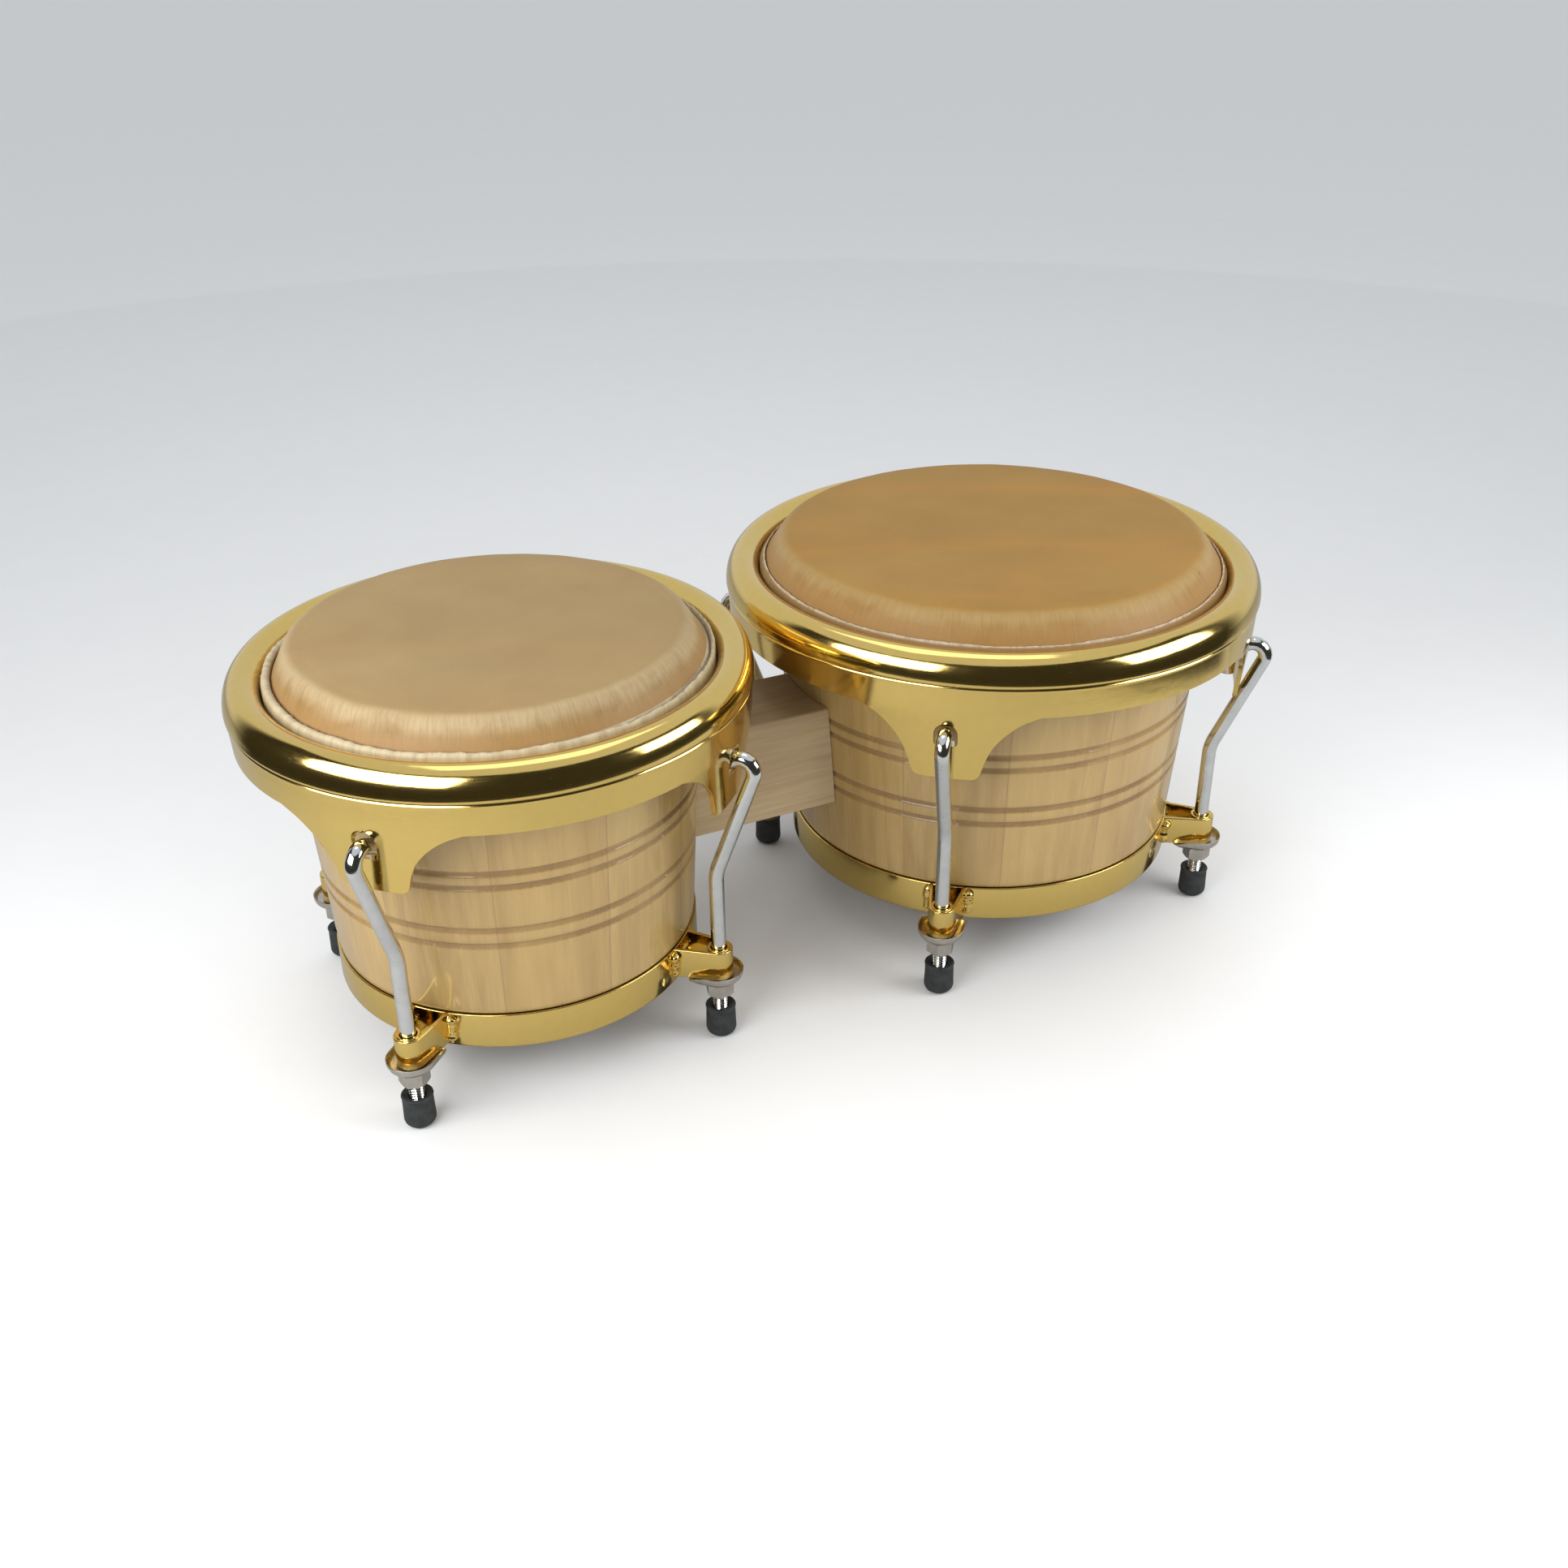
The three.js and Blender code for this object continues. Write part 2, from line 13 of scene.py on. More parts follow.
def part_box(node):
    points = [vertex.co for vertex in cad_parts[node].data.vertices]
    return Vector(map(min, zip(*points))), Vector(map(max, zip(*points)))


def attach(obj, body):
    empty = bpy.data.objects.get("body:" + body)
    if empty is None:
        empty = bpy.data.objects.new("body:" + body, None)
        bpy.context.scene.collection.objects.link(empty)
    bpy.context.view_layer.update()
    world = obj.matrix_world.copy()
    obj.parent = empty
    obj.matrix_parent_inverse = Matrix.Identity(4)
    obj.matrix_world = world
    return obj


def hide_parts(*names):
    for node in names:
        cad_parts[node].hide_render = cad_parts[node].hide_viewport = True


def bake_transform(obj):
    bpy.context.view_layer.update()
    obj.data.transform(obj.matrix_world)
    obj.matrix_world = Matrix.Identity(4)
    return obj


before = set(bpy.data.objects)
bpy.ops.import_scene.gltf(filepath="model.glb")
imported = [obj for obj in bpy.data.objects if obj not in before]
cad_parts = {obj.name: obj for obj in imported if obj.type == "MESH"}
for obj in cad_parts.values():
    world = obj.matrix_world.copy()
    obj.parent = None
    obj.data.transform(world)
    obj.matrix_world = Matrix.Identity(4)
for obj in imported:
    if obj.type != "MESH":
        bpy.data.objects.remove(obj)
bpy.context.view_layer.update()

MM = 0.001
LUGS = ["back_right", "back_left", "front_left", "front_right"]
AROUND = 288  # steps round a drum
SMOOTH = 38  # degrees between faces that still shade as one
GAP = 0.3  # between two pieces that touch

# Heights and sections shared by both drums, in millimetres.
SKIN = 1.6
SKIN_TUCK_TOP = 160  # the skin round the hoop is below this
GRAIN_TURN = math.radians(25)  # of the heads' streaks
HEAD_R_Z = 172.5  # where the shell is as wide as the head
RING_H = 16.6
RING_T = 2.0
RING_FLANGE = 8.0
GROOVES = [79.0, 86.5, 107.0, 113.5]
GROOVE_HALF = 1.5
# Rises and depths over a groove: a lip at each side, a sloping lower flank and a steep upper one.
GROOVE_SECTION = [(-1.75, 0), (-1.45, 0.10), (-0.9, 0.42), (-0.2, 0.80), (0.45, 1.0), (0.95, 0.92),
                  (1.25, 0.55), (1.42, 0.16), (1.7, 0)]
WALL = 8.2
TUCK_OUT = 8.8  # of the tucked skin, outside the head
HOOP_OUT = 4.55
HOOP_R = 2.2
ROLL_HALF = 7.6
ROLL_OUT_Z = 159.6
ROLL_IN_Z = 163.6
LIP_Z = 159.2
CREASE_Z = 157.8
SHEET = 2.0
BAND_INSET = 0.7
BAND_Z = 145.0
BAND_LEAN = 0.05  # inward, per height
EAR_LEAN = 3.2
SLOT_HALF = 5.0
SLOT_CORNER = 1.3
SLOT_REACH = 6  # beyond the slot, over which the rim's rows even out
HOOK_OUT = 10.6
HOOK_IN = 10.2
HOOK_DROP = 10.7
HOOK_LEG = 10.5
HOOK_CORNER = 3.2  # corner of the outer bend above the top of the rod
ROD_R = 3.2
LUG_OUT = 16.6  # of a rod's axis, outside the ring
STRAP_T = 1.7
STRAP_R = 6.0
STRAP_FOOT = 2.8  # above the ring's lower face
ARM_HALF = 8.4
THREAD_PITCH = 1.27
THREAD_DEPTH = 0.62
THREAD_LOW = 3.6
THREAD_TOP = 30.0
PLATE_NOSE = 10.4
PLATE_REACH = 11.5
PLATE_CORNER = 2.5
NUT_ACROSS = 11.1
NUT_BORE = 3.3
HEX_STEPS = 96
HEX_SLOPE = math.tan(math.radians(32))  # of the chamfered corners
BOLT_ACROSS = 10.0
BOLT_HEAD = 3.5
BOLT_R = 2.95
WASHER_R = 8
BLOCK_EASE = 1.1


class Drum:
    """One drum's measures, read from the frame."""

    def __init__(self, name, staves, stave_start, slot_z, collar, raw_edge, head_tint):
        self.name = name
        self.body = f"{name}_rim_set"
        rim_low, rim_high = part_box(f"{name}_rim")
        head_low, head_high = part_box(f"{name}_head")
        self.origin = Vector(((rim_low.x + rim_high.x) / 2, 0, 0))
        self.rim_r = (rim_high.x - rim_low.x) / 2 / MM
        self.head_r = (head_high.x - head_low.x) / 2 / MM - TUCK_OUT
        self.top = head_high.z / MM
        self.tuck = head_low.z / MM
        self.ear_z = rim_low.z / MM
        self.roll_top = rim_high.z / MM
        self.ring_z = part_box(f"{name}_bottom_ring")[0].z / MM
        self.lugs = {lug: self.lug_place(lug) for lug in LUGS}
        self.rod = self.lugs[LUGS[0]].length
        self.ring_r = self.rod - LUG_OUT
        self.staves = staves
        self.stave_start = stave_start
        self.slot_z = slot_z
        self.collar = smooth_curve([(self.head_r + out, self.top - drop) for out, drop in collar], 4)
        self.raw_edge = raw_edge
        self.head_tint = head_tint

    def lug_place(self, lug):
        low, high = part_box(f"{self.name}_nut_{lug}")
        middle = (low + high) / 2 - self.origin
        return Vector((middle.x, middle.y)) / MM

    def lug_angle(self, lug):
        return math.atan2(self.lugs[lug].y, self.lugs[lug].x)

    def band_r(self, z=BAND_Z):
        """Outside radius of the rim's band, which leans in a little, and more at the ears below it."""
        fall = max(0, BAND_Z - z) / (BAND_Z - self.ear_z)
        lean = BAND_LEAN * (CREASE_Z - max(z, BAND_Z)) + EAR_LEAN * fall
        return self.rim_r - BAND_INSET - lean

    def ring_top(self):
        return self.ring_z + RING_H

    def shell_r(self, z):
        """Outside radius of the tapered shell at a height."""
        foot = self.ring_r - 0.8
        return foot + (self.head_r - foot) * (z - self.ring_top()) / (HEAD_R_Z - self.ring_top())


# --- Mesh helpers ---
def add_object(name, verts, faces, origin=(0, 0, 0)):
    mesh = bpy.data.meshes.new(name)
    mesh.from_pydata((np.asarray(verts, float) * MM).tolist(), [], faces)
    obj = bpy.data.objects.new(name, mesh)
    obj.location = origin
    bpy.context.scene.collection.objects.link(obj)
    return obj


def tidy(obj, sharp=SMOOTH):
    """Welds doubled points, turns the faces outward, and shades smooth up to an angle in degrees."""
    bm = bmesh.new()
    bm.from_mesh(obj.data)
    bmesh.ops.remove_doubles(bm, verts=bm.verts, dist=1e-6)
    bmesh.ops.dissolve_degenerate(bm, edges=bm.edges, dist=1e-7)
    bmesh.ops.recalc_face_normals(bm, faces=bm.faces)
    bm.to_mesh(obj.data)
    bm.free()
    obj.data.shade_smooth()
    obj.data.set_sharp_from_angle(angle=math.radians(sharp))
    return obj


def grid_faces(rows, columns, wrap_rows=False, wrap_columns=False, keep=None):
    """Quads over a grid of points stored row by row."""
    faces = []
    for r in range(rows if wrap_rows else rows - 1):
        for c in range(columns if wrap_columns else columns - 1):
            if keep is None or keep(r, c):
                r1 = (r + 1) % rows
                c1 = (c + 1) % columns
                faces.append((r * columns + c, r * columns + c1, r1 * columns + c1, r1 * columns + c))
    return faces


def loft(name, loops, origin=(0, 0, 0), sharp=SMOOTH, closed=False, capped=True):
    """A solid through equal loops of points, closed on itself, or capped by a face at each end."""
    around = len(loops[0])
    verts = [point for loop in loops for point in loop]
    faces = grid_faces(len(loops), around, closed, True)
    if capped and not closed:
        faces.append(tuple(range(around))[::-1])
        faces.append(tuple(len(verts) - around + k for k in range(around)))
    return tidy(add_object(name, verts, faces, origin), sharp)


def lathe(name, profile, origin=(0, 0, 0), steps=AROUND, vary=None, x=0):
    """A solid of revolution from a closed profile of (radius, height), about an upright axis at x."""
    loops = []
    for i in range(steps):
        theta = 2 * math.pi * i / steps
        line = [vary(theta, r, z) for r, z in profile] if vary else profile
        loops.append([(x + r * math.cos(theta), r * math.sin(theta), z) for r, z in line])
    return loft(name, loops, origin, closed=True)


def circle(radius, height, count, x=0):
    """A level loop of points round a place on the X axis."""
    angles = [2 * math.pi * k / count for k in range(count)]
    return [(x + radius * math.cos(a), radius * math.sin(a), height) for a in angles]


def arc(cx, cy, r, start, end, steps):
    """Points of an arc, angles in degrees."""
    angles = [math.radians(start + (end - start) * i / steps) for i in range(steps + 1)]
    return [(cx + r * math.cos(a), cy + r * math.sin(a)) for a in angles]


def rounded(corners, steps):
    """A path through (x, y, radius) corners, each inner corner turned into an arc."""
    points = [Vector(corners[0][:2])]
    for before, corner, after in zip(corners, corners[1:], corners[2:]):
        middle = Vector(corner[:2])
        back = (Vector(before[:2]) - middle).normalized()
        ahead = (Vector(after[:2]) - middle).normalized()
        half = back.angle(ahead) / 2
        start = middle + back * corner[2] / math.tan(half)
        end = middle + ahead * corner[2] / math.tan(half)
        centre = middle + (back + ahead).normalized() * corner[2] / math.sin(half)
        for k in range(steps + 1):
            spoke = start.lerp(end, k / steps) - centre
            points.append(centre + spoke.normalized() * corner[2])
    points.append(Vector(corners[-1][:2]))
    return points


def smooth_curve(points, per_step):
    """A Catmull-Rom curve through 2-D points."""
    ends = [2 * Vector(points[0]) - Vector(points[1])]
    ends += [Vector(p) for p in points]
    ends.append(2 * Vector(points[-1]) - Vector(points[-2]))
    curve = []
    for p0, p1, p2, p3 in zip(ends, ends[1:], ends[2:], ends[3:]):
        for k in range(per_step):
            t = k / per_step
            curve.append(0.5 * (2 * p1 + (p2 - p0) * t + (2 * p0 - 5 * p1 + 4 * p2 - p3) * t * t
                                + (3 * p1 - p0 - 3 * p2 + p3) * t ** 3))
    curve.append(Vector(points[-1]))
    return curve


def join(name, objects):
    """Several objects of one origin as one object."""
    mesh = bpy.data.meshes.new(name)
    bm = bmesh.new()
    for obj in objects:
        bm.from_mesh(obj.data)
    bm.to_mesh(mesh)
    bm.free()
    whole = bpy.data.objects.new(name, mesh)
    whole.location = objects[0].location
    bpy.context.scene.collection.objects.link(whole)
    for obj in objects:
        bpy.data.objects.remove(obj)
    return whole


def turn_about_axis(obj, angle):
    """Turns an object's points about its own Z axis."""
    obj.data.transform(Matrix.Rotation(angle, 4, "Z"))
    return obj


def soften(obj, width, segments, angle):
    """Rounds the edges of an object that are sharper than an angle."""
    bevel = obj.modifiers.new("edges", "BEVEL")
    bevel.width = width * MM
    bevel.segments = segments
    bevel.limit_method = "ANGLE"
    bevel.angle_limit = math.radians(angle)
    bevel.harden_normals = True
    bpy.context.view_layer.update()
    mesh = bpy.data.meshes.new_from_object(obj.evaluated_get(bpy.context.evaluated_depsgraph_get()))
    obj.modifiers.clear()
    obj.data = mesh


def finish_piece(obj, material, body, node):
    """Gives a piece its material and the body that it rides on, and hides the CAD node that it stands for.
    """
    obj.data.materials.append(material)
    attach(obj, body)
    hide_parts(node)


def wobble(theta, radius, frequency, seed):
    """Seamless noise round a circle, about -1 to 1."""
    place = Vector((math.cos(theta) * radius * frequency, math.sin(theta) * radius * frequency, seed))
    return noise.noise(place)


# --- Material helpers ---
class Graph:
    """A node material, built from small steps."""

    def __init__(self, name):
        self.material = bpy.data.materials.new(name)
        self.material.use_nodes = True
        self.tree = self.material.node_tree
        self.shader = self.tree.nodes["Principled BSDF"]

    def put(self, socket, value):
        if isinstance(value, bpy.types.NodeSocket):
            self.tree.links.new(value, socket)
        else:
            socket.default_value = value

    def node(self, kind, inputs=None, **settings):
        made = self.tree.nodes.new(kind)
        for key, value in settings.items():
            setattr(made, key, value)
        for key, value in (inputs or {}).items():
            self.put(made.inputs[key], value)
        return made

    def set(self, **values):
        names = {"color": "Base Color", "coat": "Coat Weight", "specular": "Specular IOR Level",
                 "sheen": "Sheen Weight"}
        for key, value in values.items():
            self.put(self.shader.inputs[names.get(key) or key.replace("_", " ").title()], value)
        return self.material

    def moved(self, vector, shift):
        return self.node("ShaderNodeVectorMath", {0: vector, 1: shift}, operation="ADD").outputs[0]

    def place(self, shift=(0, 0, 0)):
        """Object coordinates, moved so that the drum's axis is at zero."""
        return self.moved(self.node("ShaderNodeTexCoord").outputs["Object"], shift)

    def scaled(self, vector, scale):
        return self.node("ShaderNodeVectorMath", {0: vector, 1: scale}, operation="MULTIPLY").outputs[0]

    def noise(self, vector, scale, detail=2.0, roughness=0.5, distortion=0.0):
        inputs = {"Vector": vector, "Scale": scale, "Detail": detail, "Roughness": roughness,
                  "Distortion": distortion}
        return self.node("ShaderNodeTexNoise", inputs).outputs["Fac"]

    def cells(self, vector, scale):
        return self.node("ShaderNodeTexVoronoi", {"Vector": vector, "Scale": scale}).outputs["Distance"]

    def math(self, operation, a, b=0.0, c=0.0):
        return self.node("ShaderNodeMath", {0: a, 1: b, 2: c}, operation=operation).outputs[0]

    def times(self, a, b):
        return self.math("MULTIPLY", a, b)

    def times_plus(self, a, b, c):
        return self.math("MULTIPLY_ADD", a, b, c)

    def plus(self, a, b):
        return self.math("ADD", a, b)

    def minus(self, a, b):
        return self.math("SUBTRACT", a, b)

    def step(self, value, low, high):
        """0 below low and 1 above high, smooth between them; falls where high is below low."""
        inputs = {"Value": value, "From Min": low, "From Max": high}
        return self.node("ShaderNodeMapRange", inputs, interpolation_type="SMOOTHSTEP").outputs[0]

    def span(self, value, low, high):
        """A 0..1 value spread over low..high."""
        return self.contrast(value, 0, 1, low, high)

    def contrast(self, value, low, high, to_low, to_high):
        inputs = {"Value": value, "From Min": low, "From Max": high, "To Min": to_low, "To Max": to_high}
        return self.node("ShaderNodeMapRange", inputs).outputs[0]

    def mix(self, factor, a, b):
        made = self.node("ShaderNodeMix", data_type="RGBA")
        self.put(made.inputs[0], factor)
        for socket, value in ((made.inputs[6], a), (made.inputs[7], b)):
            self.put(socket, (*value, 1.0) if isinstance(value, tuple) else value)
        return made.outputs[2]

    def xyz(self, vector):
        return self.node("ShaderNodeSeparateXYZ", {0: vector}).outputs

    def radius(self, vector):
        x, y, _ = self.xyz(vector)
        return self.math("SQRT", self.plus(self.times(x, x), self.times(y, y)))

    def bump(self, height, distance, strength=1.0, normal=None):
        inputs = {"Height": height, "Distance": distance, "Strength": strength}
        if normal is not None:
            inputs["Normal"] = normal
        return self.node("ShaderNodeBump", inputs).outputs[0]


def shell_wood(drum):
    """Pale lacquered wood in upright staves, with burnt, fibrous bands in the turned grooves, and a painted
    dark shade line just above the bottom ring.
    """
    g = Graph(f"{drum.name}_shell_wood")
    place = g.place()
    x, y, z = g.xyz(place)
    turn = g.math("ARCTAN2", y, x)
    across = g.times_plus(turn, drum.staves / (2 * math.pi), 40 + drum.stave_start)
    lean = g.noise(g.scaled(place, (6, 6, 9)), 1.0, 1.0)
    across = g.times_plus(lean, 0.05, across)
    stave = g.math("FLOOR", across)
    within = g.math("FRACT", across)
    tone = g.node("ShaderNodeTexWhiteNoise", {"W": stave}, noise_dimensions="1D").outputs["Value"]
    shifted = g.moved(place, g.node("ShaderNodeCombineXYZ", {2: g.times(stave, 0.37)}).outputs[0])
    fine = g.noise(g.scaled(shifted, (1, 1, 0.022)), 1100, 3.0, 0.6)
    streak = g.noise(g.scaled(shifted, (1, 1, 0.05)), 210, 3.0, 0.55, 0.4)
    broad = g.noise(g.scaled(shifted, (1, 1, 0.22)), 30, 2.0, 0.5, 0.8)
    color = g.mix(g.contrast(streak, 0.3, 0.7, 0, 1), (0.36, 0.232, 0.078), (0.48, 0.330, 0.124))
    color = g.mix(g.contrast(fine, 0.34, 0.66, 0.34, 0), color, (0.29, 0.175, 0.060))
    color = g.mix(g.contrast(broad, 0.42, 0.68, 0.0, 0.5), color, (0.54, 0.375, 0.135))
    color = g.mix(g.span(tone, 0.0, 0.30), color, (0.41, 0.245, 0.082))
    edge = g.math("MINIMUM", within, g.minus(1.0, within))
    joint = g.step(edge, 0.011, 0.003)
    color = g.mix(g.times(joint, 0.5), color, (0.27, 0.165, 0.08))
    taper = (drum.shell_r(100) - drum.shell_r(0)) / 100
    outside = g.times_plus(z, taper, drum.shell_r(0) * MM)
    inside = g.step(g.minus(outside, g.radius(place)), 0.0025, 0.004)
    fibre = g.noise(g.scaled(place, (1, 1, 0.25)), 1500, 2.0, 0.7)
    ragged = g.times_plus(fibre, 0.0012, g.minus(z, 0.0006))
    burnt = None
    for groove in GROOVES:
        away = g.math("ABSOLUTE", g.minus(ragged, (groove + 0.1) * MM))
        band = g.step(away, 0.0019, 0.0010)
        burnt = band if burnt is None else g.math("MAXIMUM", burnt, band)
    burnt = g.times(burnt, g.minus(1.0, inside))
    depth = g.times(burnt, g.contrast(g.noise(place, 38, 2.0), 0.3, 0.7, 0.45, 0.95))
    depth = g.times(depth, g.contrast(fibre, 0.3, 0.7, 0.75, 1.0))
    color = g.mix(g.times(depth, 0.86), color, (0.19, 0.100, 0.038))
    # Painted shade: a dark line, ragged by the fibres, on the shell just above the bottom ring where the
    # two parts meet.
    foot = drum.ring_top() * MM
    ragged_foot_z = g.times_plus(fibre, 0.0016, g.minus(z, 0.0008))
    painted_foot_shade = g.step(ragged_foot_z, foot + 0.0013, foot + 0.0004)
    color = g.mix(g.times(painted_foot_shade, 0.8), color, (0.09, 0.05, 0.025))
    color = g.mix(g.times(inside, 0.35), color, (0.42, 0.28, 0.15))
    grain = g.bump(g.plus(fine, g.times(joint, -1.5)), 0.00006, 0.35)
    dull = g.math("MAXIMUM", burnt, inside)
    return g.set(color=color, roughness=g.span(dull, 0.42, 0.6), normal=grain, coat=0.75,
                 coat_roughness=0.07, specular=0.45)


def block_wood():
    """Plain sealed wood, its grain lying along the block."""
    g = Graph("block_wood")
    place = g.place()
    fine = g.noise(g.scaled(place, (0.03, 1, 1)), 900, 3.0, 0.6)
    streak = g.noise(g.scaled(place, (0.07, 1, 1)), 170, 3.0, 0.55, 0.5)
    broad = g.noise(g.scaled(place, (0.25, 1, 1)), 40, 2.0, 0.5, 1.2)
    color = g.mix(g.contrast(streak, 0.3, 0.7, 0, 1), (0.45, 0.32, 0.175), (0.58, 0.45, 0.265))
    color = g.mix(g.contrast(fine, 0.32, 0.68, 0.45, 0), color, (0.37, 0.25, 0.125))
    color = g.mix(g.contrast(broad, 0.5, 0.75, 0.0, 0.5), color, (0.50, 0.33, 0.165))
    grain = g.bump(fine, 0.00008, 0.5)
    return g.set(color=color, roughness=g.span(fine, 0.52, 0.7), normal=grain, specular=0.35)


def rawhide(drum):
    """Scraped rawhide: flat matt top, a painted highlight along the crease, golden fibrous collar and a
    whitish cut edge.
    """
    g = Graph(f"{drum.name}_rawhide")
    place = g.place(-drum.origin)
    x, y, z = g.xyz(place)
    r = g.radius(place)
    a = drum.head_r * MM
    tint = drum.head_tint
    blotch = g.noise(place, 17, 3.0, 0.55, 0.4)
    pores = g.noise(place, 1300, 3.0, 0.65)
    spin = g.node("ShaderNodeMapping", {"Vector": place, "Rotation": (0, 0, GRAIN_TURN)})
    along = g.noise(g.scaled(spin.outputs[0], (4.5, 26, 26)), 1.0, 3.0, 0.55, 0.7)
    top = g.mix(g.contrast(blotch, 0.3, 0.7, 0, 1), tint["top_dark"], tint["top_light"])
    top = g.mix(g.contrast(along, 0.48, 0.72, 0, tint["streaks"]), top, tint["warm"])
    top = g.mix(g.contrast(pores, 0.35, 0.65, 0.16, 0), top, tint["pore"])
    angle = g.math("ARCTAN2", y, x)
    ray_place = g.node("ShaderNodeCombineXYZ", {0: g.times(g.math("COSINE", angle), a), 1: g.times(
        g.math("SINE", angle), a), 2: g.times(z, 0.14)}).outputs[0]
    rays = g.noise(ray_place, 900, 3.0, 0.65)
    patches = g.noise(place, 34, 3.0, 0.6, 0.8)
    collar = g.mix(g.contrast(patches, 0.3, 0.68, 0, 1), tint["collar_light"], tint["collar_warm"])
    collar = g.mix(g.contrast(rays, 0.35, 0.66, 0.28, 0), collar, tint["collar_dark"])
    drift = g.times_plus(g.minus(patches, 0.5), 0.012, z)
    low = g.step(drift, (drum.top - 5.5) * MM, (drum.top - 11) * MM)
    collar = g.mix(g.times(low, 0.7), collar, tint["collar_low"])
    edge_r = g.times_plus(g.minus(patches, 0.5), 0.0035, r)
    color = g.mix(g.step(edge_r, a - 0.0062, a - 0.0035), top, collar)
    # Painted highlight: a paler ring along the crease where the skin turns over the shell's edge.
    ring = g.times(g.step(edge_r, a - 0.0085, a - 0.0045), g.step(edge_r, a - 0.0008, a - 0.0035))
    color = g.mix(g.times(ring, g.contrast(rays, 0.3, 0.7, 0.3, 0.62)), color, tint["crease"])
    marks = g.cells(g.scaled(place, (1, 1, 0.6)), 95)
    mark = g.times(g.step(marks, 0.13, 0.04), g.step(r, a - 0.006, a - 0.002))
    mark = g.times(mark, g.step(patches, 0.56, 0.66))
    color = g.mix(g.times(mark, 0.7), color, (0.13, 0.09, 0.05))
    outer = g.step(r, a + drum.raw_edge["start"] * MM, a + (drum.raw_edge["start"] + 0.5) * MM)
    edge_top, depth = drum.raw_edge["top"], drum.raw_edge["depth"]
    cut = g.times(outer, g.step(z, (edge_top - depth) * MM, (edge_top - depth * 0.35) * MM))
    nicks = g.noise(ray_place, 300, 4.0, 0.7)
    white = g.mix(g.contrast(nicks, 0.28, 0.6, 0.7, 0), tint["edge"], tint["nick"])
    flap = g.mix(g.times(outer, 0.75), color, tint["flap"])
    color = g.mix(cut, flap, white)
    rough = g.mix(g.step(r, a - 0.005, a - 0.001), (0.60, 0.60, 0.60), (0.44, 0.44, 0.44))
    height = g.plus(g.times(pores, 0.5), g.times(rays, g.step(r, a - 0.004, a)))
    height = g.times_plus(patches, 1.2, height)
    return g.set(color=color, roughness=rough, normal=g.bump(height, 0.00016, 0.55), specular=0.22,
                 sheen=0.02, sheen_roughness=0.5)


def gold():
    """Polished brass plating with faint waves, fine scratches and a few dull specks."""
    g = Graph("gold_plating")
    place = g.place()
    waves = g.noise(g.scaled(place, (1, 1, 1.6)), 42, 2.0, 0.45, 0.6)
    haze = g.noise(place, 260, 3.0, 0.6)
    specks = g.step(g.cells(place, 420), 0.10, 0.03)
    scratches = g.noise(g.scaled(place, (1, 1, 14)), 160, 3.0, 0.7, 1.2)
    color = g.mix(g.contrast(haze, 0.3, 0.7, 0, 1), (0.86, 0.625, 0.200), (0.83, 0.60, 0.190))
    color = g.mix(g.times(specks, 0.3), color, (0.42, 0.27, 0.08))
    rough = g.contrast(scratches, 0.35, 0.75, 0.09, 0.17)
    rough = g.times_plus(specks, 0.15, rough)
    normal = g.bump(waves, 0.0009, 0.06)
    return g.set(color=color, metallic=1.0, roughness=rough, normal=g.bump(haze, 0.00001, 0.06, normal))


def plated(name, light, dark, rough_low, rough_high, grit):
    """A silver-coloured plating; grit is the height of its surface texture in metres."""
    g = Graph(name)
    place = g.place()
    cloud = g.noise(place, 130, 3.0, 0.6)
    fine = g.noise(place, 900, 3.0, 0.65)
    specks = g.step(g.cells(place, 330), 0.14, 0.04)
    color = g.mix(g.contrast(cloud, 0.3, 0.7, 0, 1), light, dark)
    color = g.mix(g.times(specks, 0.35), color, tuple(0.45 * c for c in dark))
    rough = g.contrast(cloud, 0.3, 0.7, rough_low, rough_high)
    return g.set(color=color, metallic=1.0, roughness=g.times_plus(specks, 0.2, rough),
                 normal=g.bump(fine, grit, 0.5))


def rubber():
    """Matt black moulded rubber with a dusty bloom on it."""
    g = Graph("black_rubber")
    place = g.place()
    bloom = g.noise(place, 210, 4.0, 0.65)
    grain = g.noise(place, 2200, 2.0, 0.6)
    color = g.mix(g.contrast(bloom, 0.35, 0.7, 0, 1), (0.019, 0.021, 0.022), (0.042, 0.044, 0.044))
    return g.set(color=color, roughness=g.contrast(bloom, 0.3, 0.7, 0.5, 0.68),
                 normal=g.bump(grain, 0.00005, 0.6), specular=0.4)


# --- Shell and head ---
def inside(curve, depth):
    """The underside, at a depth, of a curve that runs outward and down."""
    moved = []
    for i, point in enumerate(curve):
        ahead = (curve[min(i + 1, len(curve) - 1)] - curve[max(i - 1, 0)]).normalized()
        moved.append((point.x + ahead.y * depth, point.y - ahead.x * depth))
    return moved


